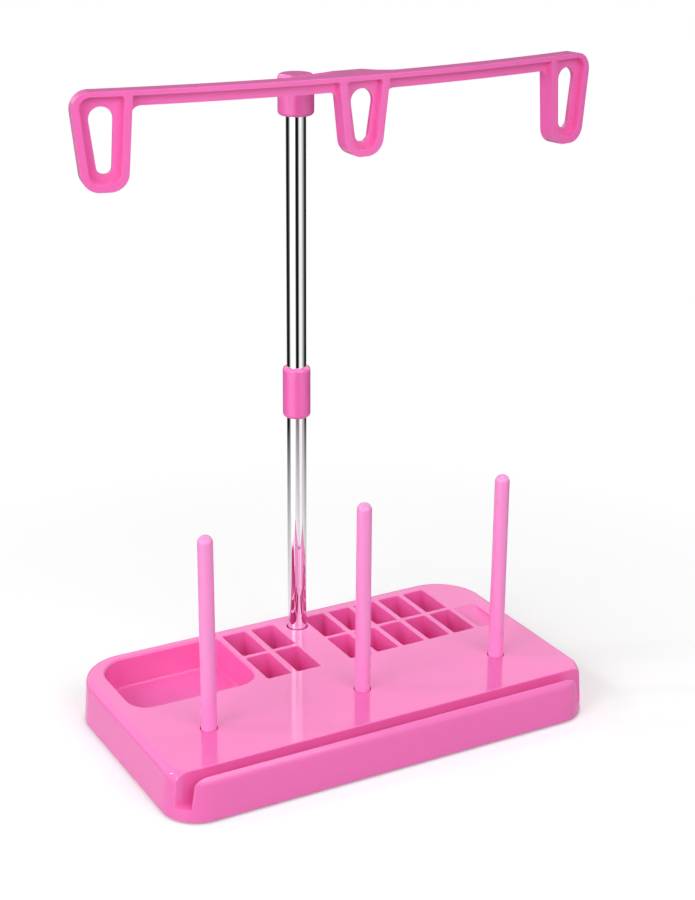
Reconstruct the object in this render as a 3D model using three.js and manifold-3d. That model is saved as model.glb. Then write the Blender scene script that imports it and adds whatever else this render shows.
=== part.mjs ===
// Thread cone stand: a moulded base with bobbin cells, a tray and a front slot, three spool pins,
// a two-piece tube mast and a swivelling guide arm with three hanging loops.
// Millimetres, +Z up. X = 0 on the mast axis, Y = 0 at the middle of the base's depth, Z = 0 under the feet.
import * as THREE from "three";
import { mergeVertices } from "three/addons/utils/BufferGeometryUtils.js";
import Module from "manifold-3d";

const wasm = await Module();
wasm.setup();

// Base housing, measured at its top outline
const baseWidth = 220;
const baseDepth = 127.4;
const baseHeight = 22.4;
const baseCentreX = -7.3;
const baseDraft = 1.2;
const backCornerRadius = 24;
const frontCornerRadius = 16.5;
const leftRound = 4;
const lipRound = 6;
const farRound = 1.4;
const wall = 2.4;
const deckThickness = 2.4;

// Bobbin cells, in two blocks of the same row depth
const cellLength = 24.5;
const cellRowPitch = 27;
const cellDepth = 16;
const cellFloor = 1.8;
const pocketDraft = 0.3;
const cellForm = {
  radii: evenRadii(0.9), cornerSteps: 2, floorRound: 0.5, floorSteps: 1, mouthChamfer: 0.4,
};
const backCellEdgeY = 57.1;
const cellRows = 2;
const rightCellWidth = 12;
const rightCellPitch = 15;
const rightCellCount = 5;
const firstRightCellX = 6.7;
const leftCellWidth = 12.7;
const leftCellPitch = 16.1;
const leftCellCount = 2;
const firstLeftCellX = -39;
const shallowDepth = 5;

// Notions tray at the back left
const trayLeftX = -107;
const trayWallToCells = 3;
const trayFrontY = 6.3;
const trayBackY = 58.6;
const trayDepth = 16;
const trayFloor = 1.8;
const trayForm = {
  radii: { frontLeft: 10, frontRight: 12, backRight: 4, backLeft: 16.5 },
  cornerSteps: 6,
  floorRound: 1.2,
  floorSteps: 2,
  mouthChamfer: 1.2,
};

// Slot along the front, open at both ends, with a low lip in front of it
const slotWidth = 5.9;
const slotDepth = 16.3;
const slotBackY = -55.7;
const lipDrop = 1.2;
const slotEdgeChamfer = 0.4;

// Rubber feet
const footDiameter = 12;
const footSeatDepth = 2;
const footProud = 1;
const footInset = 17;
const footPostWall = 1.8;
const footChamfer = 0.5;

// Spool pins
const pinFootDiameter = 7.5;
const pinTipDiameter = 7.1;
const pinHeight = 95.4;
const pinRowY = -24.6;
const middlePinX = -4;
const leftPinSpacing = 80.4;
const rightPinSpacing = 75.7;
const pinSocketDepth = 16;
const pinFootChamfer = 0.6;
const ribThickness = 1.6;

// Mast: two tubes joined by a sleeve
const mastY = 50.2;
const tubeDiameter = 9.5;
const tubeWall = 0.8;
const tubeChamfer = 0.2;
const mastSocketDepth = 20.2;
const mastHoleClearance = 0.6;
const couplingDiameter = 13.5;
const couplingLength = 25.6;
const couplingRise = 113.7;
const couplingStopThickness = 1.6;
const couplingStopDepth = 1.2;
const couplingRound = 1.5;

// Guide arm: hub, neck and a bowed bar with three hanging loops
const hubDiameter = 17;
const hubHeight = 19.1;
const hubTopRise = 279.9;
const hubRound = 2;
const hubSocketDepth = 15;
const armTopRise = 288;
const armReach = 56.6;
const bowRadius = 569;
const armDepth = 8;
const flangeThickness = 2.2;
const webThickness = 2;
const barHeight = 6.8;
const barFillet = 4;
const rimWidth = 3.3;
const armEdgeRound = 0.7;
const barWebRound = 0.5;
const recessRadius = 1.5;
const barStep = 11;
const outerLoop = {
  centre: 115.3, halfTop: 13.4, halfBottom: 9.4, lean: -0.6, drop: 41.5, bottomRadius: 8, topRadius: 8,
  holeTop: -11.6, holeTopRadius: 5.1, holeBottom: -31.2, holeBottomRadius: 3.3,
};
const middleLoop = {
  centre: 0, halfTop: 12.4, halfBottom: 8.5, lean: 0, drop: 35, bottomRadius: 8, topRadius: 2,
  holeTop: -11.3, holeTopRadius: 5.4, holeBottom: -25.7, holeBottomRadius: 3.3,
};
const neckWidth = 10.5;
const neckFlare = 18;
const neckRib = 2.4;
const neckRibHeight = 5.4;

// Fits
const gap = 0.3;
const through = 2;

// Facets: an arc of a path gets twice its count of steps
const cornerSteps = 3;
const holeSteps = 5;
const outlineSteps = 8;
const edgeSteps = 4;
const tipSteps = 5;
const filletSteps = 4;
const neckSteps = 16;
const pinSegments = 28;
const turnSegments = 32;
const tubeSegments = 36;

// Derived places
const deckZ = footProud + baseHeight;
const baseLeftX = baseCentreX - baseWidth / 2;
const baseRightX = baseCentreX + baseWidth / 2;
const baseFrontY = -baseDepth / 2;
const baseBackY = baseDepth / 2;
const tubeRadius = tubeDiameter / 2;
const couplingBottomZ = deckZ + couplingRise;
const couplingMiddleZ = couplingBottomZ + couplingLength / 2;
const hubTopZ = deckZ + hubTopRise;
const hubBottomZ = hubTopZ - hubHeight;
const hubCeilingZ = hubBottomZ + hubSocketDepth;
const armTopZ = deckZ + armTopRise;
const webFrom = (armDepth - webThickness) / 2;
const shallowCellX = firstRightCellX + rightCellCount * rightCellPitch;
const trayRightX = firstLeftCellX - trayWallToCells;
const pinXs = [middlePinX - leftPinSpacing, middlePinX, middlePinX + rightPinSpacing];
const pinSocketRadius = pinFootDiameter / 2 + gap;
const mastSocketRadius = tubeRadius + mastHoleClearance;
const footRadius = footDiameter / 2;
const footSeatZ = footProud + footSeatDepth;

const colours = {
  shell: 0xf06fb4,
  pin: 0xf57abc,
  chrome: 0xd8dadd,
  rubber: 0x2c2c2e,
};

function plastic(colour) {
  return new THREE.MeshStandardMaterial({ color: colour, roughness: 0.3, metalness: 0 });
}

function chrome() {
  return new THREE.MeshStandardMaterial({ color: colours.chrome, roughness: 0.08, metalness: 1 });
}

function rubber() {
  return new THREE.MeshStandardMaterial({ color: colours.rubber, roughness: 0.85, metalness: 0 });
}

function evenRadii(radius) {
  return { frontLeft: radius, frontRight: radius, backRight: radius, backLeft: radius };
}

// Solid for booleans from a closed geometry
function solidOf(geometry) {
  const bare = geometry.clone();
  bare.deleteAttribute("normal");
  bare.deleteAttribute("uv");
  const merged = mergeVertices(bare, 1e-4);
  return new wasm.Manifold(new wasm.Mesh({
    numProp: 3,
    vertProperties: new Float32Array(merged.attributes.position.array),
    triVerts: new Uint32Array(merged.index.array),
  }));
}

function geometryOf(solid) {
  const mesh = solid.getMesh();
  const geometry = new THREE.BufferGeometry();
  geometry.setAttribute("position", new THREE.BufferAttribute(mesh.vertProperties, 3));
  geometry.setIndex(new THREE.BufferAttribute(mesh.triVerts, 1));
  geometry.computeVertexNormals();
  return geometry;
}

function joined(solids) {
  return solids.reduce((sum, solid) => sum.add(solid));
}

function block(x0, x1, y0, y1, z0, z1) {
  const geometry = new THREE.BoxGeometry(x1 - x0, y1 - y0, z1 - z0);
  geometry.translate((x0 + x1) / 2, (y0 + y1) / 2, (z0 + z1) / 2);
  return solidOf(geometry);
}

// Turned piece about a vertical axis from a list of [radius, height] points
function turned(profile, segments) {
  const points = profile.map(([radius, height]) => new THREE.Vector2(radius, height));
  return new THREE.LatheGeometry(points, segments).rotateX(Math.PI / 2);
}

function post(x, y, radius, z0, z1) {
  const profile = [[0, z0], [radius, z0], [radius, z1], [0, z1]];
  return solidOf(turned(profile, turnSegments).translate(x, y, 0));
}

// Closed skin through rings of equal point counts, each a list of Vector3 seen counterclockwise
// from the end that the last ring is at
function loft(rings) {
  const count = rings[0].length;
  const positions = [];
  const indices = [];
  for (const ring of rings) {
    for (const point of ring) positions.push(point.x, point.y, point.z);
  }
  for (let level = 0; level + 1 < rings.length; level++) {
    for (let i = 0; i < count; i++) {
      const a = level * count + i;
      const b = level * count + (i + 1) % count;
      indices.push(a, b, b + count, a, b + count, a + count);
    }
  }
  const middleOf = (ring) => {
    const middle = new THREE.Vector3();
    for (const point of ring) middle.add(point);
    return middle.divideScalar(count);
  };
  const last = (rings.length - 1) * count;
  const bottom = middleOf(rings[0]);
  const top = middleOf(rings.at(-1));
  positions.push(bottom.x, bottom.y, bottom.z, top.x, top.y, top.z);
  const bottomIndex = rings.length * count;
  for (let i = 0; i < count; i++) {
    const next = (i + 1) % count;
    indices.push(bottomIndex, next, i);
    indices.push(bottomIndex + 1, last + i, last + next);
  }
  const geometry = new THREE.BufferGeometry();
  geometry.setAttribute("position", new THREE.Float32BufferAttribute(positions, 3));
  geometry.setIndex(indices);
  return geometry;
}

// Points and outward normals round a rectangle with rounded corners, counterclockwise from above
function roundedOutline(x0, x1, y0, y1, radii, steps) {
  const corners = [
    { x: x1, y: y1, radius: radii.backRight, start: 0 },
    { x: x0, y: y1, radius: radii.backLeft, start: 1 },
    { x: x0, y: y0, radius: radii.frontLeft, start: 2 },
    { x: x1, y: y0, radius: radii.frontRight, start: 3 },
  ];
  const points = [];
  for (const corner of corners) {
    const centreX = corner.x - Math.sign(corner.x - (x0 + x1) / 2) * corner.radius;
    const centreY = corner.y - Math.sign(corner.y - (y0 + y1) / 2) * corner.radius;
    for (let i = 0; i <= steps; i++) {
      const angle = (corner.start + i / steps) * Math.PI / 2;
      const nx = Math.cos(angle);
      const ny = Math.sin(angle);
      points.push({ x: centreX + nx * corner.radius, y: centreY + ny * corner.radius, nx, ny });
    }
  }
  return points;
}

function ringFrom(outline, offset, z) {
  return outline.map((p) => {
    const out = typeof offset === "function" ? offset(p) : offset;
    const height = typeof z === "function" ? z(p) : z;
    return new THREE.Vector3(p.x + p.nx * out, p.y + p.ny * out, height);
  });
}

const baseRadii = {
  frontLeft: frontCornerRadius,
  frontRight: frontCornerRadius,
  backRight: backCornerRadius,
  backLeft: backCornerRadius,
};

// Round of the top edge: strong along the front, less at the left, slight at the back and the right
function topRound(p) {
  const side = p.nx < 0 ? leftRound : farRound;
  const across = p.ny < 0 ? lipRound : farRound;
  return side + (across - side) * Math.abs(p.ny);
}

// Outer form of the base: drafted sides and a rounded top edge
function baseBody() {
  const outline = roundedOutline(baseLeftX, baseRightX, baseFrontY, baseBackY, baseRadii, outlineSteps);
  const rings = [ringFrom(outline, baseDraft, footProud)];
  for (let i = 0; i <= edgeSteps; i++) {
    const angle = i / edgeSteps * Math.PI / 2;
    const inset = (p) => -topRound(p) * (1 - Math.cos(angle));
    const height = (p) => deckZ - topRound(p) * (1 - Math.sin(angle));
    rings.push(ringFrom(outline, inset, height));
  }
  return solidOf(loft(rings));
}

function baseHollow() {
  const outline = roundedOutline(baseLeftX, baseRightX, baseFrontY, baseBackY, baseRadii, outlineSteps);
  const top = deckZ - deckThickness;
  return solidOf(loft([
    ringFrom(outline, baseDraft - wall, footProud - through),
    ringFrom(outline, -wall, top - leftRound),
    ringFrom(outline, -wall - leftRound, top),
  ]));
}

// Pocket cutter with a floor radius, drafted sides and a chamfered mouth
function pocket(x0, x1, y0, y1, depth, form) {
  const outline = roundedOutline(x0, x1, y0, y1, form.radii, form.cornerSteps);
  const floorZ = deckZ - depth;
  const rings = [];
  for (let i = 0; i <= form.floorSteps; i++) {
    const angle = i / form.floorSteps * Math.PI / 2;
    const inset = form.floorRound * (1 - Math.sin(angle));
    rings.push(ringFrom(outline, -pocketDraft - inset, floorZ + form.floorRound * (1 - Math.cos(angle))));
  }
  rings.push(
    ringFrom(outline, 0, deckZ - form.mouthChamfer),
    ringFrom(outline, form.mouthChamfer, deckZ),
    ringFrom(outline, form.mouthChamfer, deckZ + through),
  );
  return solidOf(loft(rings));
}

function rowFrontY(row) {
  return backCellEdgeY - row * cellRowPitch - cellLength;
}

function cellCutter(x0, width, row, depth) {
  const y0 = rowFrontY(row);
  return pocket(x0, x0 + width, y0, y0 + cellLength, depth, cellForm);
}

function cellCutters() {
  const cutters = [];
  for (let row = 0; row < cellRows; row++) {
    for (let i = 0; i < rightCellCount; i++) {
      cutters.push(cellCutter(firstRightCellX + i * rightCellPitch, rightCellWidth, row, cellDepth));
    }
    for (let i = 0; i < leftCellCount; i++) {
      cutters.push(cellCutter(firstLeftCellX + i * leftCellPitch, leftCellWidth, row, cellDepth));
    }
  }
  return joined(cutters);
}

// Section in (y, z) swept along X
function sweptAlongX(section, x0, x1) {
  const geometry = new THREE.ExtrudeGeometry(section, { depth: x1 - x0, bevelEnabled: false });
  geometry.applyMatrix4(new THREE.Matrix4().set(0, 0, 1, 0, 1, 0, 0, 0, 0, 1, 0, 0, 0, 0, 0, 1));
  return solidOf(geometry.translate(x0, 0, 0));
}

// Recess beside the front row, a ramp from the deck at its back down to its depth at the front
function shallowCutter() {
  const frontY = rowFrontY(cellRows - 1);
  const backY = frontY + cellLength;
  const floorZ = deckZ - shallowDepth;
  const rise = shallowDepth / cellLength * through;
  const ramp = new THREE.Shape();
  ramp.moveTo(frontY - through, floorZ - rise);
  ramp.lineTo(frontY - through, floorZ - shallowDepth);
  ramp.lineTo(backY + through, floorZ - shallowDepth);
  ramp.lineTo(backY + through, deckZ + rise);
  ramp.closePath();
  const space = cellCutter(shallowCellX, rightCellWidth, cellRows - 1, shallowDepth);
  return space.subtract(sweptAlongX(ramp, shallowCellX - wall, shallowCellX + rightCellWidth + wall));
}

function trayCutter() {
  return pocket(trayLeftX, trayRightX, trayFrontY, trayBackY, trayDepth, trayForm);
}

// Boxes under the deck that carry the walls and floors of the cells and the tray
function pocketBlocks() {
  const y0 = rowFrontY(cellRows - 1) - wall;
  const y1 = backCellEdgeY + wall;
  const cellBottom = deckZ - cellDepth - cellFloor;
  const rightEnd = firstRightCellX + (rightCellCount - 1) * rightCellPitch + rightCellWidth;
  const leftEnd = firstLeftCellX + (leftCellCount - 1) * leftCellPitch + leftCellWidth;
  const shallowEnd = shallowCellX + rightCellWidth;
  const shallowBackY = y0 + cellLength + 2 * wall;
  const shallowBottom = deckZ - shallowDepth - cellFloor;
  const trayBottom = deckZ - trayDepth - trayFloor;
  return joined([
    block(firstRightCellX - wall, rightEnd + wall, y0, y1, cellBottom, deckZ),
    block(shallowCellX - wall, shallowEnd + wall, y0, shallowBackY, shallowBottom, deckZ),
    block(firstLeftCellX - wall, leftEnd + wall, y0, y1, cellBottom, deckZ),
    block(trayLeftX - wall, trayRightX + wall, trayFrontY - wall, trayBackY + wall, trayBottom, deckZ),
  ]);
}

function slotBlock() {
  const bottom = deckZ - slotDepth - cellFloor;
  return block(
    baseLeftX - through, baseRightX + through, baseFrontY - through, slotBackY + wall, bottom, deckZ,
  );
}

// Section of the slot and of what is taken off above the lip, swept along the whole front
function slotCutter() {
  const lipZ = deckZ - lipDrop;
  const section = new THREE.Shape();
  section.moveTo(slotBackY, deckZ - slotDepth);
  section.lineTo(slotBackY, deckZ - slotEdgeChamfer);
  section.lineTo(slotBackY + slotEdgeChamfer, deckZ);
  section.lineTo(slotBackY + slotEdgeChamfer, deckZ + through);
  section.lineTo(baseFrontY - through, deckZ + through);
  section.lineTo(baseFrontY - through, lipZ);
  section.lineTo(slotBackY - slotWidth - slotEdgeChamfer, lipZ);
  section.lineTo(slotBackY - slotWidth, lipZ - slotEdgeChamfer);
  section.lineTo(slotBackY - slotWidth, deckZ - slotDepth);
  section.closePath();
  return sweptAlongX(section, baseLeftX - through, baseRightX + through);
}

function footPlaces() {
  const x0 = baseLeftX + footInset;
  const x1 = baseRightX - footInset;
  const y0 = baseFrontY + footInset;
  const y1 = baseBackY - footInset;
  return [
    { name: "front_left", x: x0, y: y0 },
    { name: "front_right", x: x1, y: y0 },
    { name: "back_left", x: x0, y: y1 },
    { name: "back_right", x: x1, y: y1 },
  ];
}

// Sockets, foot posts and stiffening ribs under the deck
function innerParts() {
  const mastBossRadius = mastSocketRadius + wall;
  const pinBossRadius = pinSocketRadius + wall;
  const parts = [post(0, mastY, mastBossRadius, footProud, deckZ)];
  for (const x of pinXs) {
    parts.push(post(x, pinRowY, pinBossRadius, deckZ - pinSocketDepth - wall, deckZ));
  }
  for (const place of footPlaces()) {
    parts.push(post(place.x, place.y, footRadius + gap + footPostWall, footProud, deckZ));
  }
  const ribBottom = deckZ - pinSocketDepth;
  const half = ribThickness / 2;
  const cellFrontY = rowFrontY(cellRows - 1);
  parts.push(block(baseLeftX, baseRightX, pinRowY - half, pinRowY + half, ribBottom, deckZ));
  for (const x of pinXs) {
    parts.push(block(x - half, x + half, slotBackY, cellFrontY, ribBottom, deckZ));
  }
  parts.push(block(-half, half, pinRowY, mastY, ribBottom, deckZ));
  return joined(parts);
}

function socketCutters() {
  const cutters = [post(0, mastY, mastSocketRadius, deckZ - mastSocketDepth, deckZ + through)];
  for (const x of pinXs) {
    cutters.push(post(x, pinRowY, pinSocketRadius, deckZ - pinSocketDepth, deckZ + through));
  }
  for (const place of footPlaces()) {
    cutters.push(post(place.x, place.y, footRadius + gap, footProud - through, footSeatZ));
  }
  return joined(cutters);
}

function baseHousing() {
  const body = baseBody();
  const inside = joined([pocketBlocks(), slotBlock(), innerParts()]).intersect(body);
  const solid = body.subtract(baseHollow()).add(inside)
    .subtract(joined([cellCutters(), shallowCutter(), trayCutter(), slotCutter(), socketCutters()]));
  return new THREE.Mesh(geometryOf(solid), plastic(colours.shell));
}

function foot(place) {
  const profile = [
    [0, 0], [footRadius - footChamfer, 0], [footRadius, footChamfer], [footRadius, footSeatZ], [0, footSeatZ],
  ];
  const mesh = new THREE.Mesh(turned(profile, pinSegments), rubber());
  mesh.position.set(place.x, place.y, 0);
  mesh.name = `foot_${place.name}`;
  return mesh;
}

// Tapered pin with a round tip and a plain spigot that drops into the base
function spoolPin() {
  const footR = pinFootDiameter / 2;
  const tipR = pinTipDiameter / 2;
  const bottom = gap - pinSocketDepth;
  const profile = [
    [0, bottom], [footR - pinFootChamfer, bottom], [footR, bottom + pinFootChamfer], [footR, 0],
    ...quarterRound(0, pinHeight - tipR, tipR, 0, 1, tipSteps),
  ];
  profile.at(-1)[0] = 0;
  return new THREE.Mesh(turned(profile, pinSegments), plastic(colours.pin));
}

function tube(length) {
  const inner = tubeRadius - tubeWall;
  const profile = [
    [inner, 0], [tubeRadius - tubeChamfer, 0], [tubeRadius, tubeChamfer],
    [tubeRadius, length - tubeChamfer], [tubeRadius - tubeChamfer, length], [inner, length], [inner, 0],
  ];
  return new THREE.Mesh(turned(profile, tubeSegments), chrome());
}

// Points of a quarter round from one end angle to another, in quarter turns
function quarterRound(centreRadius, centreZ, radius, from, to, steps = 3) {
  const points = [];
  for (let i = 0; i <= steps; i++) {
    const angle = (from + (to - from) * i / steps) * Math.PI / 2;
    points.push([centreRadius + radius * Math.cos(angle), centreZ + radius * Math.sin(angle)]);
  }
  return points;
}

// Sleeve with a stop ring inside that both tubes meet
function couplingSleeve() {
  const outer = couplingDiameter / 2;
  const bore = tubeRadius + gap;
  const stop = tubeRadius - couplingStopDepth;
  const half = couplingStopThickness / 2;
  const middle = couplingLength / 2;
  const profile = [
    [bore, 0],
    ...quarterRound(outer - couplingRound, couplingRound, couplingRound, -1, 0),
    ...quarterRound(outer - couplingRound, couplingLength - couplingRound, couplingRound, 0, 1),
    [bore, couplingLength],
    [bore, middle + half],
    [stop, middle + half],
    [stop, middle - half],
    [bore, middle - half],
    [bore, 0],
  ];
  return new THREE.Mesh(turned(profile, turnSegments), plastic(colours.shell));
}

// Path with an arc at each corner that has a radius; a corner is { s, z, radius }
function roundedPath(path, corners) {
  const count = corners.length;
  corners.forEach((corner, i) => {
    const here = new THREE.Vector2(corner.s, corner.z);
    const before = corners[(i + count - 1) % count];
    const after = corners[(i + 1) % count];
    const back = new THREE.Vector2(before.s, before.z).sub(here).normalize();
    const ahead = new THREE.Vector2(after.s, after.z).sub(here).normalize();
    const halfAngle = Math.acos(back.dot(ahead)) / 2;
    const run = corner.radius / Math.tan(halfAngle);
    const start = here.clone().addScaledVector(back, run);
    const end = here.clone().addScaledVector(ahead, run);
    if (i === 0) path.moveTo(start.x, start.y);
    else path.lineTo(start.x, start.y);
    if (corner.radius === 0) return;
    const reach = corner.radius / Math.sin(halfAngle);
    const centre = here.addScaledVector(back.clone().add(ahead).normalize(), reach);
    const from = Math.atan2(start.y - centre.y, start.x - centre.x);
    const to = Math.atan2(end.y - centre.y, end.x - centre.x);
    path.absarc(centre.x, centre.y, corner.radius, from, to, back.cross(ahead) > 0);
  });
  path.closePath();
  return path;
}

// Place on the bow of a point s along the arm, y behind the bar's back face and z above its top
function bowPoint(s, y, z) {
  const angle = s / bowRadius;
  const radius = bowRadius - y;
  const centreY = mastY - armReach + bowRadius;
  return new THREE.Vector3(radius * Math.sin(angle), centreY - radius * Math.cos(angle), armTopZ + z);
}

// Flat front view with holes, extruded in depth and bent round the bow
function bowPanel(outline, holes, depth, from, round) {
  const shape = new THREE.Shape(outline.getPoints(cornerSteps));
  for (const hole of holes) shape.holes.push(new THREE.Path(hole.getPoints(holeSteps)));
  const geometry = new THREE.ExtrudeGeometry(shape, {
    depth: depth - 2 * round,
    bevelEnabled: round > 0,
    bevelThickness: round,
    bevelSize: round,
    bevelOffset: -round,
    bevelSegments: 1,
  });
  geometry.translate(0, 0, from + round);
  const position = geometry.attributes.position;
  for (let i = 0; i < position.count; i++) {
    const point = bowPoint(position.getX(i), -position.getZ(i), position.getY(i));
    position.setXYZ(i, point.x, point.y, point.z);
  }
  return solidOf(geometry);
}

// Distance along the arm of a loop's drafted side: outward 1 is the side away from the mast
function loopEdge(loop, side, outward, z) {
  const share = -z / loop.drop;
  const centre = loop.centre + loop.lean * share;
  const half = loop.halfTop + (loop.halfBottom - loop.halfTop) * share;
  return side * (centre + outward * half);
}

// Corners of a loop's outline, drawn in by a margin and counterclockwise from the front
function loopCorners(loop, side, margin, top, outerTop, innerTop) {
  const bottom = -loop.drop + margin;
  const at = (outward, z, radius) => {
    return { s: loopEdge(loop, side, outward, z) - side * outward * margin, z, radius };
  };
  const low = loop.bottomRadius - margin;
  const corners = [at(1, top, outerTop), at(1, bottom, low), at(-1, bottom, low), at(-1, top, innerTop)];
  return side < 0 ? corners : corners.reverse();
}

// Tapered hole: two circles joined by their common tangents
function threadHole(loop, side) {
  const top = new THREE.Vector2(side * loop.centre, loop.holeTop);
  const bottom = new THREE.Vector2(side * (loop.centre + loop.lean), loop.holeBottom);
  const along = top.clone().sub(bottom);
  const axis = along.angle();
  const lead = Math.acos((loop.holeTopRadius - loop.holeBottomRadius) / along.length());
  const path = new THREE.Path();
  const left = axis + Math.PI - lead;
  const right = axis - Math.PI + lead;
  path.absarc(top.x, top.y, loop.holeTopRadius, right, left, false);
  path.absarc(bottom.x, bottom.y, loop.holeBottomRadius, left, right + 2 * Math.PI, false);
  path.closePath();
  return path;
}

// Hanging loop: a deep rim round a thin web with the thread hole
function hangingLoop(loop, side) {
  const rimOutline = loopCorners(loop, side, 0, 0, loop.topRadius, 0);
  const high = Math.max(loop.topRadius - rimWidth, recessRadius);
  const recess = loopCorners(loop, side, rimWidth, -flangeThickness, high, recessRadius);
  const overlap = rimWidth / 2;
  const webTopRadius = Math.max(loop.topRadius - overlap, 0);
  const web = loopCorners(loop, side, overlap, -flangeThickness / 2, webTopRadius, 0);
  const path = (corners) => roundedPath(new THREE.Path(), corners);
  const rim = bowPanel(path(rimOutline), [path(recess)], armDepth, 0, armEdgeRound);
  return rim.add(bowPanel(path(web), [threadHole(loop, side)], webThickness, webFrom, 0));
}

// Concave fillet between the underside of a bar and the side of a loop
function barGusset(loop, side, outward) {
  const edge = loopEdge(loop, side, outward, -barHeight);
  const sink = rimWidth / 2;
  const away = side * outward;
  const path = new THREE.Path();
  path.moveTo(edge - away * sink, -barHeight + sink);
  path.lineTo(edge + away * barFillet, -barHeight + sink);
  path.lineTo(edge + away * barFillet, -barHeight);
  for (let i = 1; i <= filletSteps; i++) {
    const angle = i / filletSteps * Math.PI / 2;
    const s = edge + away * barFillet * (1 - Math.sin(angle));
    path.lineTo(s, -barHeight - barFillet * (1 - Math.cos(angle)));
  }
  path.lineTo(edge - away * sink, -barHeight - barFillet);
  path.closePath();
  return bowPanel(path, [], webThickness, webFrom, 0);
}

// Straight stretch of the arm between two loops: a section of points { x, y } swept along the bow
function sweptBar(section, s0, s1) {
  const steps = Math.ceil((s1 - s0) / barStep);
  const rings = [];
  for (let i = 0; i <= steps; i++) {
    const s = THREE.MathUtils.lerp(s0, s1, i / steps);
    rings.push(section.map((point) => bowPoint(s, point.x, point.y)));
  }
  return solidOf(loft(rings));
}

function bars() {
  const outer = loopEdge(outerLoop, 1, -1, -flangeThickness) + rimWidth / 2;
  const inner = loopEdge(middleLoop, 1, 1, -flangeThickness) - rimWidth / 2;
  const flange = roundedOutline(-armDepth, 0, -flangeThickness, 0, evenRadii(armEdgeRound), 2);
  const web = roundedOutline(
    -webFrom - webThickness, -webFrom, -barHeight, -flangeThickness / 2, evenRadii(barWebRound), 1,
  );
  const parts = [];
  for (const [s0, s1] of [[-outer, -inner], [inner, outer]]) {
    parts.push(sweptBar(flange, s0, s1), sweptBar(web, s0, s1));
  }
  return joined(parts);
}

// Height of the neck's top at a distance in front of the mast
function neckTop(distance) {
  const start = hubDiameter / 2;
  const end = armReach - neckFlare / 2;
  const share = THREE.MathUtils.clamp((distance - start) / (end - start), 0, 1);
  return THREE.MathUtils.lerp(hubTopZ, armTopZ, share);
}

function neckRing(distance, half, top, bottom) {
  const y = mastY - distance;
  return [
    new THREE.Vector3(-half, y, bottom),
    new THREE.Vector3(half, y, bottom),
    new THREE.Vector3(half, y, top),
    new THREE.Vector3(-half, y, top),
  ];
}

// Neck plate that flares into the bow, with a rib under it
function armNeck() {
  const start = tubeRadius;
  const end = armReach + armDepth / 2;
  const plate = [];
  const rib = [];
  for (let i = 0; i <= neckSteps; i++) {
    const distance = THREE.MathUtils.lerp(start, end, i / neckSteps);
    const into = THREE.MathUtils.clamp(distance - armReach + neckFlare, 0, neckFlare);
    const flare = neckFlare - Math.sqrt(neckFlare ** 2 - into ** 2);
    const top = neckTop(distance);
    plate.push(neckRing(distance, neckWidth / 2 + flare, top, top - flangeThickness));
    rib.push(neckRing(distance, neckRib / 2, top - flangeThickness / 2, top - neckRibHeight));
  }
  return solidOf(loft(plate)).add(solidOf(loft(rib)));
}

function armHub() {
  const radius = hubDiameter / 2;
  const profile = [
    [0, hubBottomZ],
    ...quarterRound(radius - hubRound, hubBottomZ + hubRound, hubRound, -1, 0),
    ...quarterRound(radius - hubRound, hubTopZ - hubRound, hubRound, 0, 1),
    [0, hubTopZ],
  ];
  return solidOf(turned(profile, turnSegments).translate(0, mastY, 0));
}

function guideArm() {
  const socket = post(0, mastY, tubeRadius + gap, hubBottomZ - through, hubCeilingZ);
  const loops = [hangingLoop(outerLoop, -1), hangingLoop(middleLoop, -1), hangingLoop(outerLoop, 1)];
  const gussets = [
    barGusset(outerLoop, -1, -1), barGusset(middleLoop, -1, 1),
    barGusset(middleLoop, -1, -1), barGusset(outerLoop, 1, -1),
  ];
  const solid = joined([...loops, ...gussets, bars(), armNeck(), armHub()]).subtract(socket);
  return new THREE.Mesh(geometryOf(solid), plastic(colours.shell));
}

function named(name, mesh, x = 0, y = 0, z = 0) {
  mesh.name = name;
  mesh.position.set(x, y, z);
  return mesh;
}

const stand = new THREE.Group();
stand.name = "thread_cone_stand";

stand.add(named("base_housing", baseHousing()));
for (const place of footPlaces()) stand.add(foot(place));

const pinNames = ["spool_pin_left", "spool_pin_middle", "spool_pin_right"];
pinXs.forEach((x, i) => stand.add(named(pinNames[i], spoolPin(), x, pinRowY, deckZ)));

const lowerTubeBottom = deckZ - mastSocketDepth + gap;
const lowerTubeTop = couplingMiddleZ - couplingStopThickness / 2 - gap;
const lowerTube = tube(lowerTubeTop - lowerTubeBottom);
stand.add(named("mast_lower_tube", lowerTube, 0, mastY, lowerTubeBottom));
stand.add(named("mast_coupling", couplingSleeve(), 0, mastY, couplingBottomZ));

const upperMast = new THREE.Group();
const upperTubeBottom = couplingMiddleZ + couplingStopThickness / 2 + gap;
const upperTube = tube(hubCeilingZ - gap - upperTubeBottom);
upperMast.add(named("mast_upper_tube", upperTube, 0, mastY, upperTubeBottom));
upperMast.add(named("thread_guide_arm", guideArm()));
stand.add(upperMast);

export default stand;
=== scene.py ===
import math

import bmesh
import bpy
from bpy.props import FloatProperty, FloatVectorProperty, IntProperty, PointerProperty
from mathutils import Matrix, Vector


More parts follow.
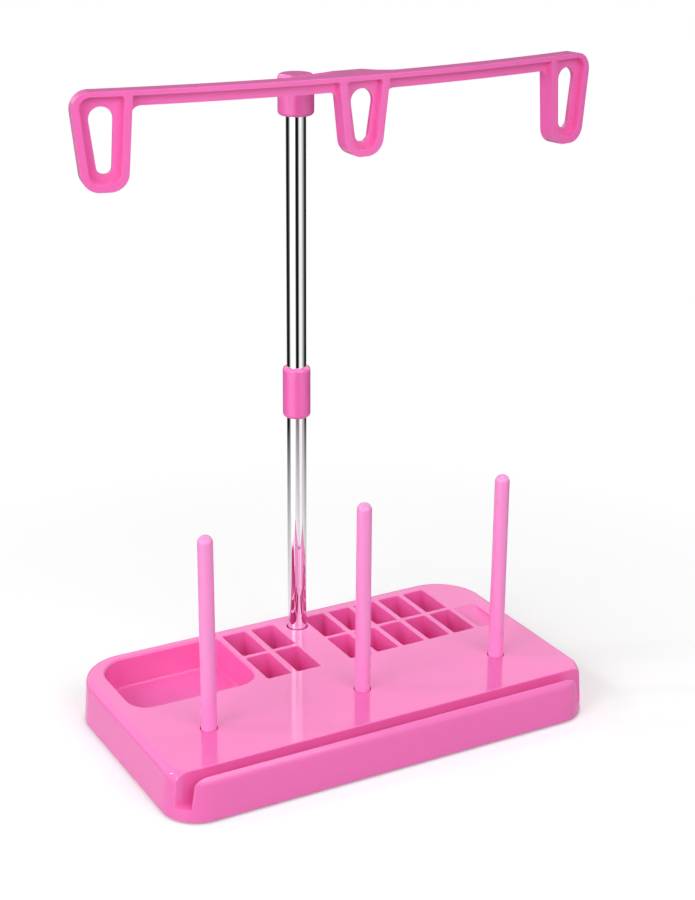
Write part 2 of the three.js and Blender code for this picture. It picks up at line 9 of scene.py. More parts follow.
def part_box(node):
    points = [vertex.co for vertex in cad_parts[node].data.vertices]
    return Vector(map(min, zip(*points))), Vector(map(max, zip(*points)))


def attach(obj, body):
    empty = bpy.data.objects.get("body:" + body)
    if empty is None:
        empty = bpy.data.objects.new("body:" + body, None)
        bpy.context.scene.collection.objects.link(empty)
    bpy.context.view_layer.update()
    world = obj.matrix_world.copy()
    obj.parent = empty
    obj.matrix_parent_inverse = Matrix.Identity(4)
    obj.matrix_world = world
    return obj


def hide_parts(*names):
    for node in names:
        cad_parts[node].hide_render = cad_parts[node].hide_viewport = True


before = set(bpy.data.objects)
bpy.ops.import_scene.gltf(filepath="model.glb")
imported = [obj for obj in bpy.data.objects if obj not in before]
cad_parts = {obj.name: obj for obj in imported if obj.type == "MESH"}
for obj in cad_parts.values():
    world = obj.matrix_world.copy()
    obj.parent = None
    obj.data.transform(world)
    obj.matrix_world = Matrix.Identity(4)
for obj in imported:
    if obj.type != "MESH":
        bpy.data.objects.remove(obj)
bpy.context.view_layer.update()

bl_info = {
    "name": "Thread Cone Stand",
    "version": (1, 0, 0),
    "blender": (4, 5, 0),
    "location": "View3D > Sidebar > Thread Stand",
    "description": "Builds a thread cone stand and a studio stage round its packed frame",
    "category": "Add Mesh",
}

# Metres throughout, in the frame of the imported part: X = 0 on the mast, Z = 0 under the feet
base_low, base_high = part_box("base_housing")
pin_low, pin_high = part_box("spool_pin_middle")
lower_low, lower_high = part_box("mast_lower_tube")
upper_low, upper_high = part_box("mast_upper_tube")
sleeve_low, sleeve_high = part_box("mast_coupling")
_, arm_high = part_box("thread_guide_arm")
foot_low, foot_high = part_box("foot_front_left")

PIN_NODES = {"left": "spool_pin_left", "middle": "spool_pin_middle", "right": "spool_pin_right"}
FOOT_NODES = ("foot_front_left", "foot_front_right", "foot_back_left", "foot_back_right")
pin_radius = (pin_high.x - pin_low.x) / 2
tube_radius = (lower_high.x - lower_low.x) / 2
foot_radius = (foot_high.x - foot_low.x) / 2

# How far the base's sides lean in, how far a cutter runs past its solid, and the gap round a seated piece
DRAFT = 0.0012
RUN_OUT = 0.002
CLEARANCE = 0.0003
# How far a pocket's walls lean in, and the round of a socket's mouth and of the base's lower edge
POCKET_DRAFT = 0.0003
SOCKET_ROUND = 0.0004
SKIRT_ROUND = 0.0006
# How far into an unseen round its one middle point lies, as a share of the radius
MIDWAY = 0.3
# Half the thickness of a rib under the deck, and the wall round a foot's seat
RIB_HALF = 0.0008
SEAT_WALL = 0.0018
# Where the dish under a foot starts and ends, as shares of the foot's radius
DISH_INSIDE, DISH_OUTSIDE = 0.62, 0.68
# Radii of the tray's corners: back right, back left, front left, front right
TRAY_RADII = (0.004, 0.0165, 0.01, 0.012)
# Facets round a turned piece: out of sight, small, bores and the sleeve, tubes
HIDDEN_FACETS = 48
SMALL_FACETS = 64
BORE_FACETS = 96
TUBE_FACETS = 128


def measure(name, description, default, **kind):
    """Number property with its unit or subtype."""
    return FloatProperty(name=name, description=description, default=default, **kind)


def length(name, description, default):
    """Length property in metres."""
    return measure(name, description, default, min=0.0, unit="LENGTH", precision=5)


def place(name, description, default):
    """Coordinate in metres, which may be negative."""
    return measure(name, description, default, unit="LENGTH", precision=5)


def colour(name, description, default):
    """Linear colour property."""
    return FloatVectorProperty(
        name=name, description=description, default=default, min=0.0, max=1.0, size=3,
        subtype="COLOR",
    )


class BaseSizes(bpy.types.PropertyGroup):
    """Sizes of the base housing."""

    back_radius: length("Back corner", "Radius of the base's back corners, seen from above", 0.024)
    front_radius: length("Front corner", "Radius of the base's front corners", 0.0165)
    left_round: length("Left edge", "Round of the top edge at the left", 0.004)
    lip_round: length("Front edge", "Round of the top edge along the front", 0.006)
    far_round: length("Far edge", "Round of the top edge at the back and the right", 0.0014)
    wall: length("Wall", "Thickness of the skirt and of the pocket walls", 0.0024)
    pocket_depth: length("Pocket depth", "Depth of the cells and of the tray", 0.016)
    shallow_depth: length("Recess depth", "Depth of the shallow recess at its front", 0.005)
    pocket_floor: length("Pocket floor", "Thickness under a pocket", 0.0018)
    cell_length: length("Cell length", "Length of a cell from front to back", 0.0245)
    row_pitch: length("Row pitch", "Distance between the two rows of cells", 0.027)
    cells_back: place("Back of cells", "Back edge of the back row", 0.0571)
    right_first: place("First right cell", "Left edge of the right block of cells", 0.0067)
    right_width: length("Right cell width", "Width of a cell in the right block", 0.012)
    right_pitch: length("Right cell pitch", "Pitch of the cells in the right block", 0.015)
    right_count: IntProperty(name="Right cells", description="Cells in a row at the right",
                             default=5, min=1)
    left_first: place("First left cell", "Left edge of the left block of cells", -0.039)
    left_width: length("Left cell width", "Width of a cell in the left block", 0.0127)
    left_pitch: length("Left cell pitch", "Pitch of the cells in the left block", 0.0161)
    left_count: IntProperty(name="Left cells", description="Cells in a row at the left",
                            default=2, min=1)
    cell_corner: length("Cell corner", "Radius of a cell's upright corners", 0.0009)
    cell_mouth: length("Cell mouth", "Round of the edge where a cell opens", 0.0005)
    cell_floor_round: length("Cell floor round", "Radius between a cell's walls and floor", 0.0008)
    tray_left: place("Tray left", "Left edge of the tray", -0.107)
    tray_right: place("Tray right", "Right edge of the tray", -0.042)
    tray_front: place("Tray front", "Front edge of the tray", 0.0063)
    tray_back: place("Tray back", "Back edge of the tray", 0.0586)
    tray_mouth: length("Tray mouth", "Round of the tray's rim", 0.0013)
    tray_floor_round: length("Tray floor round", "Radius between the tray's walls and floor", 0.0012)
    slot_width: length("Slot width", "Width of the front slot", 0.0059)
    slot_depth: length("Slot depth", "Depth of the front slot", 0.0163)
    slot_back: place("Slot back", "Back wall of the front slot", -0.0557)
    slot_mouth: length("Slot mouth", "Round of the slot's edges", 0.0005)
    lip_drop: length("Lip drop", "How far the lip in front of the slot lies below the deck", 0.0012)


class MastSizes(bpy.types.PropertyGroup):
    """Sizes of the pins, the tubes and the sleeve."""

    tip_taper: length("Pin taper", "How much thinner a pin's tip is than its foot, in radius", 0.0002)
    pin_socket: length("Pin socket", "Depth of a pin's socket", 0.016)
    mast_socket: length("Mast socket", "Depth of the mast's socket", 0.0202)
    mast_clearance: length("Mast clearance", "Gap round the tube where it enters the deck", 0.0006)
    tube_wall: length("Tube wall", "Wall of the mast's tubes", 0.0008)
    sleeve_round: length("Sleeve round", "Round of the sleeve's ends", 0.0019)
    stop_height: length("Stop ring", "Height of the ring inside the sleeve", 0.0016)
    stop_depth: length("Stop depth", "How far the ring covers the tube's end", 0.0012)


class ArmSizes(bpy.types.PropertyGroup):
    """Sizes of the guide arm."""

    bow_radius: length("Bow", "Radius of the arm's bow, seen from above", 0.569)
    reach: length("Reach", "Distance from the mast's axis to the back of the bow", 0.0566)
    depth: length("Depth", "Depth of the arm from front to back", 0.008)
    flange: length("Flange", "Thickness of the bar's top flange", 0.0022)
    web: length("Web", "Thickness of the upright web", 0.002)
    bar_height: length("Bar height", "Height of the bar between the loops", 0.0068)
    fillet: length("Fillet", "Radius between the bar and a loop", 0.004)
    rim: length("Rim", "Width of a loop's rim", 0.0033)
    edge: length("Edge", "Round of the arm's edges", 0.0007)
    hub_diameter: length("Hub", "Diameter of the hub", 0.017)
    hub_height: length("Hub height", "Height of the hub", 0.0191)
    hub_socket: length("Hub socket", "Depth of the hub's socket", 0.015)
    neck_width: length("Neck", "Width of the neck behind its flare", 0.0105)
    neck_flare: length("Neck flare", "Radius of the neck's flare into the bow", 0.018)
    neck_rib: length("Neck rib", "Thickness of the rib under the neck", 0.0024)
    neck_rib_height: length("Neck rib height", "Height of the neck with its rib", 0.0054)


class Finishes(bpy.types.PropertyGroup):
    """Colours of the stand and of the stage."""

    shell: colour("Shell", "Pink of the base, the sleeve and the arm", (0.92, 0.16, 0.5))
    # The pins' pink is lighter than the shell's partly as painted light, standing in for the stronger light
    # on the pins
    pin: colour("Pins", "Pink of the spool pins", (0.96, 0.3, 0.66))
    plating: colour("Plating", "Tint of the chrome", (0.86, 0.87, 0.88))
    rubber: colour("Rubber", "Black of the feet", (0.018, 0.018, 0.019))
    floor: colour("Floor", "Pale floor", (0.86, 0.86, 0.86))


class StageSettings(bpy.types.PropertyGroup):
    """Camera and lamps."""

    azimuth: measure("Azimuth", "Heading of the view, clockwise from +Y", math.radians(29.19),
                     subtype="ANGLE")
    elevation: measure("Elevation", "How far the camera looks down", math.radians(20.54), subtype="ANGLE")
    roll: measure("Roll", "Turn of the frame about the view's axis", math.radians(0.44), subtype="ANGLE")
    distance: length("Distance", "From the camera to its aim point", 0.86)
    aim: FloatVectorProperty(name="Aim", description="Point on the camera's axis", size=3,
                             default=(0.00146, 0.00155, 0.13501), unit="LENGTH")
    focal_length: measure("Lens", "Focal length in millimetres on a 24 mm high sensor", 48.98, unit="CAMERA")
    front_power: measure("Front lamp", "Power of the soft lamp in front", 8.6, unit="POWER")
    side_power: measure("Side lamp", "Power of the soft lamp at the left", 11.6, unit="POWER")
    spark_power: measure("Small lamps", "Power of each lamp that lights the edges", 2.5, unit="POWER")
    fill: measure("Fill", "Level of the even light from all round", 0.4, min=0.0, subtype="FACTOR")
    wall_level: measure("Wall level", "How bright gloss sees the studio's walls", 1.8, min=0.0,
                        subtype="FACTOR")


# Mesh helpers


def object_from(name, bm):
    """New object in the scene from a finished bmesh."""
    bm.normal_update()
    mesh = bpy.data.meshes.new(name)
    bm.to_mesh(mesh)
    bm.free()
    piece = bpy.data.objects.new(name, mesh)
    bpy.context.scene.collection.objects.link(piece)
    return piece


def loft(bm, rings):
    """Closed skin through rings of equal counts, each seen counterclockwise from the last ring's end."""
    rows = [[bm.verts.new(point) for point in ring] for ring in rings]
    count = len(rows[0])
    for low, high in zip(rows, rows[1:]):
        for i in range(count):
            after = (i + 1) % count
            bm.faces.new((low[i], low[after], high[after], high[i]))
    bm.faces.new(list(reversed(rows[0])))
    bm.faces.new(rows[-1])


def lofted(name, rings):
    """Object with a closed skin through rings."""
    bm = bmesh.new()
    loft(bm, rings)
    return object_from(name, bm)


def turned(bm, profile, x, y, segments):
    """Solid of revolution about an upright axis from (radius, height) points, which close or end on it."""
    rows = []
    for radius, z in profile:
        if radius == 0:
            rows.append([bm.verts.new((x, y, z))])
            continue
        row = []
        for i in range(segments):
            angle = 2 * math.pi * i / segments
            row.append(bm.verts.new((x + radius * math.cos(angle), y + radius * math.sin(angle), z)))
        rows.append(row)
    if rows[0] is not rows[-1] and profile[0] == profile[-1]:
        for vertex in rows[-1]:
            bm.verts.remove(vertex)
        rows[-1] = rows[0]
    for low, high in zip(rows, rows[1:]):
        for i in range(segments):
            after = (i + 1) % segments
            corners = [low[i % len(low)], low[after % len(low)], high[after % len(high)], high[i % len(high)]]
            bm.faces.new(list(dict.fromkeys(corners)))


def turned_piece(name, profile, x, y, segments):
    """Object from a solid of revolution."""
    bm = bmesh.new()
    turned(bm, profile, x, y, segments)
    return object_from(name, bm)


def quarter_turn(steps):
    """Angles from zero to a quarter turn."""
    return [i / steps * math.pi / 2 for i in range(steps + 1)]


def arc(centre_radius, centre_z, radius, start, end, steps):
    """Points of a profile's arc; angles in quarter turns."""
    points = []
    for i in range(steps + 1):
        angle = (start + (end - start) * i / steps) * math.pi / 2
        points.append((centre_radius + radius * math.cos(angle), centre_z + radius * math.sin(angle)))
    return points


def block(name, low, high):
    """Box between two corners."""
    (x0, y0, z0), (x1, y1, z1) = low, high
    corners = ((x0, y0), (x1, y0), (x1, y1), (x0, y1))
    return lofted(name, [[(x, y, z) for x, y in corners] for z in (z0, z1)])


def rounded_outline(x0, x1, y0, y1, radii, steps):
    """Points and outward normals round a rectangle, from the back right corner counterclockwise."""
    corners = ((x1, y1, radii[0], 0), (x0, y1, radii[1], 1), (x0, y0, radii[2], 2), (x1, y0, radii[3], 3))
    outline = []
    for x, y, radius, start in corners:
        centre_x = x - math.copysign(radius, x - (x0 + x1) / 2)
        centre_y = y - math.copysign(radius, y - (y0 + y1) / 2)
        for i in range(steps + 1):
            angle = (start + i / steps) * math.pi / 2
            nx, ny = math.cos(angle), math.sin(angle)
            outline.append((centre_x + nx * radius, centre_y + ny * radius, nx, ny))
    return outline


def ring(outline, offset, z):
    """Ring of points at an offset and a height, each a number or a function of the outline's normal."""
    points = []
    for x, y, nx, ny in outline:
        out = offset(nx, ny) if callable(offset) else offset
        height = z(nx, ny) if callable(z) else z
        points.append((x + nx * out, y + ny * out, height))
    return points


def cut(piece, other, operation):
    """Exact boolean with another object, which is used up."""
    modifier = piece.modifiers.new("cut", "BOOLEAN")
    modifier.operation = operation
    modifier.solver = "EXACT"
    modifier.use_self = operation == "UNION"
    modifier.object = other
    settle(piece)
    bpy.data.objects.remove(other)


def settle(piece):
    """Applies all modifiers of a piece to its mesh."""
    graph = bpy.context.evaluated_depsgraph_get()
    mesh = bpy.data.meshes.new_from_object(piece.evaluated_get(graph))
    piece.modifiers.clear()
    piece.data = mesh


def smooth(piece, sharp_angle=math.radians(40)):
    """Smooth shading with flat faces kept flat."""
    piece.data.shade_smooth()
    piece.data.set_sharp_from_angle(angle=sharp_angle)
    modifier = piece.modifiers.new("normals", "WEIGHTED_NORMAL")
    modifier.keep_sharp = True
    modifier.weight = 100
    settle(piece)


def seat(piece, material, slot, body, *nodes):
    """Gives a finished piece its material and body, and hides the CAD nodes that it stands for; the slot is
    not used.
    """
    piece.data.materials.clear()
    piece.data.materials.append(material)
    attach(piece, body)
    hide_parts(*nodes)


# Base


def pocket(bm, x0, x1, y0, y1, radii, depth, floor_round, mouth, corner_steps, round_steps):
    """Cutter of one pocket, from its rounded floor up through the flared round of its mouth."""
    deck = base_high.z
    outline = rounded_outline(x0, x1, y0, y1, radii, corner_steps)
    rings = []
    for angle in quarter_turn(round_steps):
        inset = POCKET_DRAFT + floor_round * (1 - math.sin(angle))
        rings.append(ring(outline, -inset, deck - depth + floor_round * (1 - math.cos(angle))))
    for angle in quarter_turn(round_steps):
        rings.append(ring(outline, mouth * (1 - math.cos(angle)), deck - mouth * (1 - math.sin(angle))))
    rings.append(ring(outline, mouth, deck + RUN_OUT))
    loft(bm, rings)


def cell_places(sizes):
    """Left edge, width and row of every deep cell."""
    places = []
    for row in range(2):
        for i in range(sizes.right_count):
            places.append((sizes.right_first + i * sizes.right_pitch, sizes.right_width, row))
        for i in range(sizes.left_count):
            places.append((sizes.left_first + i * sizes.left_pitch, sizes.left_width, row))
    return places


def row_front(sizes, row):
    return sizes.cells_back - row * sizes.row_pitch - sizes.cell_length


def slot_section(sizes):
    """Section of the front slot and of what is taken off above its lip, as (y, z) points."""
    deck = base_high.z
    lip = deck - sizes.lip_drop
    back, front = sizes.slot_back, sizes.slot_back - sizes.slot_width
    mouth = sizes.slot_mouth
    floor = deck - sizes.slot_depth
    points = arc(front + mouth, floor + mouth, mouth, -2, -1, steps=4)
    points += arc(back - mouth, floor + mouth, mouth, -1, 0, steps=4)
    points += reversed(arc(back + mouth, deck - mouth, mouth, 1, 2, steps=4))
    over, outside = deck + RUN_OUT, base_low.y - RUN_OUT
    points += [(back + mouth, over), (outside, over), (outside, lip)]
    points += reversed(arc(front - mouth, lip - mouth, mouth, 0, 1, steps=4))
    return points


def socket(bm, x, y, radius, bottom, top):
    """Cutter of a round socket with a small round at its mouth."""
    mouth = radius + SOCKET_ROUND
    profile = [(0, bottom), (radius, bottom)]
    profile += reversed(arc(mouth, top - SOCKET_ROUND, SOCKET_ROUND, 1, 2, steps=4))
    profile += [(mouth, top + RUN_OUT), (0, top + RUN_OUT)]
    turned(bm, profile, x, y, BORE_FACETS)


def axis_of(low, high):
    """Where a turned piece's axis stands, from the corners of its box."""
    return (low.x + high.x) / 2, (low.y + high.y) / 2


def pin_axes():
    """Axis of each pin, from its CAD node."""
    return {name: axis_of(*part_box(node)) for name, node in PIN_NODES.items()}


def foot_axes():
    """Axis of each foot, from its CAD node."""
    return {node: axis_of(*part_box(node)) for node in FOOT_NODES}


def mast_axis():
    return axis_of(lower_low, lower_high)


def base_outline(sizes, steps):
    radii = (sizes.back_radius, sizes.back_radius, sizes.front_radius, sizes.front_radius)
    return rounded_outline(
        base_low.x + DRAFT, base_high.x - DRAFT, base_low.y + DRAFT, base_high.y - DRAFT, radii, steps
    )


def base_skin(sizes):
    """Drafted outer form; its top edge is rounder along the front and at the left."""
    def round_at(nx, ny):
        side = sizes.left_round if nx < 0 else sizes.far_round
        across = sizes.lip_round if ny < 0 else sizes.far_round
        return side + (across - side) * abs(ny)

    outline = base_outline(sizes, steps=20)
    rings = [
        ring(outline, DRAFT - SKIRT_ROUND, base_low.z),
        ring(outline, DRAFT - SKIRT_ROUND * MIDWAY, base_low.z + SKIRT_ROUND * MIDWAY),
        ring(outline, DRAFT, base_low.z + SKIRT_ROUND),
    ]
    for angle in quarter_turn(10):
        rings.append(ring(
            outline,
            lambda nx, ny: -round_at(nx, ny) * (1 - math.cos(angle)),
            lambda nx, ny: base_high.z - round_at(nx, ny) * (1 - math.sin(angle)),
        ))
    return lofted("base_shell", rings)


def base_hollow(sizes):
    """Space under the deck."""
    outline = base_outline(sizes, steps=10)
    top = base_high.z - sizes.wall
    return lofted("hollow", [
        ring(outline, DRAFT - sizes.wall, base_low.z - RUN_OUT),
        ring(outline, -sizes.wall, top - sizes.left_round),
        ring(outline, -sizes.wall - sizes.left_round * MIDWAY, top - sizes.left_round * MIDWAY),
        ring(outline, -sizes.wall - sizes.left_round, top),
    ])


def base_inner_parts(sizes, mast):
    """Pocket walls, sockets, posts and ribs that stand in the hollow."""
    deck = base_high.z
    over = deck + RUN_OUT
    wall = sizes.wall
    bottom = deck - sizes.pocket_depth - sizes.pocket_floor
    y0 = row_front(sizes, 1) - wall
    y1 = sizes.cells_back + wall
    right_end = sizes.right_first + (sizes.right_count - 1) * sizes.right_pitch + sizes.right_width
    left_end = sizes.left_first + (sizes.left_count - 1) * sizes.left_pitch + sizes.left_width
    recess = sizes.right_first + sizes.right_count * sizes.right_pitch
    recess_right = recess + sizes.right_width + wall
    shallow_bottom = deck - sizes.shallow_depth - sizes.pocket_floor
    slot_bottom = deck - sizes.slot_depth - sizes.pocket_floor
    boxes = [
        ((sizes.right_first - wall, y0, bottom), (right_end + wall, y1, over)),
        ((recess - wall, y0, shallow_bottom), (recess_right, y0 + sizes.cell_length + 2 * wall, over)),
        ((sizes.left_first - wall, y0, bottom), (left_end + wall, y1, over)),
        ((sizes.tray_left - wall, sizes.tray_front - wall, bottom),
         (sizes.tray_right + wall, sizes.tray_back + wall, over)),
        ((base_low.x - RUN_OUT, base_low.y - RUN_OUT, slot_bottom),
         (base_high.x + RUN_OUT, sizes.slot_back + wall, over)),
    ]
    pins = pin_axes()
    pin_y = pins["middle"][1]
    rib = deck - mast.pin_socket
    boxes.append(((base_low.x, pin_y - RIB_HALF, rib), (base_high.x, pin_y + RIB_HALF, over)))
    for x, _ in pins.values():
        boxes.append(((x - RIB_HALF, sizes.slot_back, rib), (x + RIB_HALF, row_front(sizes, 1), over)))
    mast_x, mast_y = mast_axis()
    boxes.append(((mast_x - RIB_HALF, pin_y, rib), (mast_x + RIB_HALF, mast_y, over)))
    pieces = [block("inner", low, high) for low, high in boxes]

    posts = [(mast_x, mast_y, tube_radius + mast.mast_clearance + wall, base_low.z)]
    posts += [(x, y, pin_radius + CLEARANCE + wall, rib - wall) for x, y in pins.values()]
    posts += [(x, y, foot_radius + CLEARANCE + SEAT_WALL, base_low.z) for x, y in foot_axes().values()]
    for x, y, radius, low in posts:
        profile = [(0, low), (radius, low), (radius, over), (0, over)]
        pieces.append(turned_piece("inner", profile, x, y, HIDDEN_FACETS))
    return pieces


def recess_cutter(sizes):
    """Recess beside the front row, scooped out from its right edge and ramped from its back to its front."""
    deck = base_high.z
    x0 = sizes.right_first + sizes.right_count * sizes.right_pitch
    x1 = x0 + sizes.right_width
    front = row_front(sizes, 1)
    back = front + sizes.cell_length
    bm = bmesh.new()
    pocket(bm, x0, x1, front, back, (sizes.cell_corner,) * 4, sizes.shallow_depth,
           sizes.cell_floor_round, sizes.cell_mouth, corner_steps=4, round_steps=4)
    space = object_from("recess", bm)
    rise = sizes.shallow_depth * RUN_OUT / sizes.cell_length
    low = deck - 2 * sizes.shallow_depth
    section = (
        (front - RUN_OUT, low), (back + RUN_OUT, low),
        (back + RUN_OUT, deck + rise), (front - RUN_OUT, deck - sizes.shallow_depth - rise),
    )
    ramp = [[(x, y, z) for y, z in section] for x in (x0 - RUN_OUT, x1 + RUN_OUT)]
    cut(space, lofted("ramp", ramp), "DIFFERENCE")
    scoop = [(x1 + RUN_OUT, deck - sizes.cell_mouth), (x1 + RUN_OUT, low), (x0 - RUN_OUT, low)]
    for angle in quarter_turn(16):
        scoop.append((
            x0 - RUN_OUT + (x1 - x0 + RUN_OUT) * math.sin(angle),
            deck - sizes.cell_mouth - sizes.shallow_depth * math.cos(angle),
        ))
    scoop_rings = [[(x, y, z) for x, z in scoop] for y in (front - RUN_OUT, back + RUN_OUT)]
    cut(space, lofted("scoop", scoop_rings), "DIFFERENCE")
    return space


def base_cutters(sizes, mast):
    """Cells, tray, slot and sockets as one set of separate cutters."""
    deck = base_high.z
    bm = bmesh.new()
    cell_radii = (sizes.cell_corner,) * 4
    for x, width, row in cell_places(sizes):
        y = row_front(sizes, row)
        pocket(bm, x, x + width, y, y + sizes.cell_length, cell_radii, sizes.pocket_depth,
               sizes.cell_floor_round, sizes.cell_mouth, corner_steps=4, round_steps=4)
    pocket(bm, sizes.tray_left, sizes.tray_right, sizes.tray_front, sizes.tray_back,
           TRAY_RADII, sizes.pocket_depth, sizes.tray_floor_round, sizes.tray_mouth,
           corner_steps=14, round_steps=8)
    ends = (base_low.x - 2 * RUN_OUT, base_high.x + 2 * RUN_OUT)
    loft(bm, [[(x, y, z) for y, z in slot_section(sizes)] for x in ends])
    socket(bm, *mast_axis(), tube_radius + mast.mast_clearance, deck - mast.mast_socket, deck)
    for x, y in pin_axes().values():
        socket(bm, x, y, pin_radius + CLEARANCE, deck - mast.pin_socket, deck)
    radius = foot_radius + CLEARANCE
    low, high = base_low.z - RUN_OUT, foot_high.z
    for x, y in foot_axes().values():
        turned(bm, [(0, low), (radius, low), (radius, high), (0, high)], x, y, HIDDEN_FACETS)
    return object_from("cutters", bm)


class BuildBase(bpy.types.Operator):
    """Builds the moulded base with its cells, tray, slot and sockets"""

    bl_idname = "thread_stand.build_base"
    bl_label = "Base Housing"

    def execute(self, context):
        sizes, mast = context.scene.stand_base, context.scene.stand_mast
        hollow = base_hollow(sizes)
        for part in base_inner_parts(sizes, mast):
            cut(hollow, part, "DIFFERENCE")
        shell = base_skin(sizes)
        cut(shell, hollow, "DIFFERENCE")
        cut(shell, base_cutters(sizes, mast), "DIFFERENCE")
        cut(shell, recess_cutter(sizes), "DIFFERENCE")
        smooth(shell)
        seat(shell, shell_plastic(context.scene.stand_finish), "shell_plastic", "base", "base_housing")
        return {"FINISHED"}


class BuildFeet(bpy.types.Operator):
    """Builds the four rubber pads under the base"""

    bl_idname = "thread_stand.build_feet"
    bl_label = "Feet"

    def execute(self, context):
        rubber = foot_rubber(context.scene.stand_finish)
        low, high = foot_low.z, foot_high.z
        dish, soft = 0.0003, 0.0005
        profile = [(0, low + dish), (foot_radius * DISH_INSIDE, low + dish)]
        profile += [(foot_radius * DISH_OUTSIDE, low)]
        profile += arc(foot_radius - soft, low + soft, soft, -1, 0, steps=5)
        profile += [(foot_radius, high), (0, high)]
        for node, (x, y) in foot_axes().items():
            pad = turned_piece(node.replace("foot", "pad"), profile, x, y, SMALL_FACETS)
            smooth(pad)
            seat(pad, rubber, "rubber", "base", node)
        return {"FINISHED"}


class BuildPins(bpy.types.Operator):
    """Builds the three spool pins with their round tips"""

    bl_idname = "thread_stand.build_pins"
    bl_label = "Spool Pins"

    def execute(self, context):
        plastic = pin_plastic(context.scene.stand_finish)
        tip = pin_radius - context.scene.stand_mast.tip_taper
        soft = 0.0006
        profile = [(0, pin_low.z)]
        profile += arc(pin_radius - soft, pin_low.z + soft, soft, -1, 0, steps=4)
        profile += [(pin_radius, base_high.z)]
        profile += arc(0, pin_high.z - tip, tip, 0, 1, steps=12)
        profile[-1] = (0, pin_high.z)
        for name, (x, y) in pin_axes().items():
            pin = turned_piece(f"pin_{name}", profile, x, y, SMALL_FACETS)
            smooth(pin)
            seat(pin, plastic, "pin_plastic", f"pin_{name}", PIN_NODES[name])
        return {"FINISHED"}


def tube(name, low, high, wall):
    """Open tube with softened ends between a CAD tube's corners."""
    radius = (high.x - low.x) / 2
    inner = radius - wall
    soft = wall / 4
    profile = [(inner, low.z), (radius - soft, low.z), (radius, low.z + soft)]
    profile += [(radius, high.z - soft), (radius - soft, high.z), (inner, high.z), (inner, low.z)]
    piece = turned_piece(name, profile, *axis_of(low, high), TUBE_FACETS)
    smooth(piece)
    return piece


class BuildMast(bpy.types.Operator):
    """Builds the two chrome tubes and the sleeve that joins them"""

    bl_idname = "thread_stand.build_mast"
    bl_label = "Mast"

    def execute(self, context):
        sizes, finish = context.scene.stand_mast, context.scene.stand_finish
        plating = chrome(finish)
        lower = tube("lower_tube", lower_low, lower_high, sizes.tube_wall)
        seat(lower, plating, "chrome", "lower_mast", "mast_lower_tube")
        upper = tube("upper_tube", upper_low, upper_high, sizes.tube_wall)
        seat(upper, plating, "chrome", "upper_mast", "mast_upper_tube")

        outer = (sleeve_high.x - sleeve_low.x) / 2
        bore = tube_radius + CLEARANCE
        stop = tube_radius - sizes.stop_depth
        soft = sizes.sleeve_round
        low, high = sleeve_low.z, sleeve_high.z
        middle, half = (low + high) / 2, sizes.stop_height / 2
        inner_soft = 0.0003
        profile = [(bore + inner_soft, low)]
        profile += arc(outer - soft, low + soft, soft, -1, 0, steps=8)
        profile += arc(outer - soft, high - soft, soft, 0, 1, steps=8)
        profile += [(bore + inner_soft, high), (bore, high - inner_soft), (bore, middle + half)]
        profile += [(stop, middle + half), (stop, middle - half), (bore, middle - half)]
        profile += [(bore, low + inner_soft), (bore + inner_soft, low)]
        sleeve = turned_piece("sleeve", profile, *axis_of(sleeve_low, sleeve_high), BORE_FACETS)
        smooth(sleeve)
        seat(sleeve, shell_plastic(finish), "shell_plastic", "lower_mast", "mast_coupling")
        return {"FINISHED"}


# Materials

# Painted highlight along the edges: how much of the plastic's tint it keeps, and how much white is added
EDGE_HIGHLIGHT_TINT, EDGE_HIGHLIGHT_LIFT = 0.6, 0.36
# Brightness of the plating's draw lines
LINE_SHADE = 0.93


def feed(tree, value, target):
    """Sets an input from another node's output or to a plain value."""
    if isinstance(value, bpy.types.NodeSocket):
        tree.links.new(value, target)
    else:
        target.default_value = value


def add_node(tree, kind, **values):
    """New shader node with its named inputs set; an underscore stands for a space."""
    node = tree.nodes.new(f"ShaderNode{kind}")
    for name, value in values.items():
        feed(tree, value, node.inputs[name.replace("_", " ")])
    return node


def node_group(name, inputs, outputs):
    """New shader group with float inputs (name, default) and float outputs, and its two end nodes."""
    group = bpy.data.node_groups.new(name, "ShaderNodeTree")
    for label, default in inputs:
        added = group.interface.new_socket(label, in_out="INPUT", socket_type="NodeSocketFloat")
        added.default_value = default
    for label in outputs:
        group.interface.new_socket(label, in_out="OUTPUT", socket_type="NodeSocketFloat")
    return group, group.nodes.new("NodeGroupInput"), group.nodes.new("NodeGroupOutput")


def noise(tree, coordinates, scale, detail, roughness=0.5):
    texture = add_node(tree, "TexNoise", Vector=coordinates, Scale=scale, Detail=detail, Roughness=roughness)
    return texture.outputs["Fac"]


def remap(tree, value, from_low, from_high, to_low, to_high):
    """Value carried from one range to another and held within it."""
    node = add_node(tree, "MapRange", Value=value, From_Min=from_low, From_Max=from_high)
    feed(tree, to_low, node.inputs["To Min"])
    feed(tree, to_high, node.inputs["To Max"])
    return node.outputs["Result"]


def compute(tree, operation, *values):
    """Result of a math node."""
    node = tree.nodes.new("ShaderNodeMath")
    node.operation = operation
    for value, target in zip(values, node.inputs):
        feed(tree, value, target)
    return node.outputs[0]


def blended(tree, blend, share, first, second):
    """Two colours mixed by a share."""
    node = tree.nodes.new("ShaderNodeMix")
    node.data_type = "RGBA"
    node.blend_type = blend
    for name, value in (("Factor", share), ("A", first), ("B", second)):
        feed(tree, value, node.inputs[name])
    return node.outputs["Result"]


def add_bump(tree, shader, height, strength, distance):
    bump = add_node(tree, "Bump", Strength=strength, Distance=distance, Height=height)
    feed(tree, bump.outputs["Normal"], shader.inputs["Normal"])


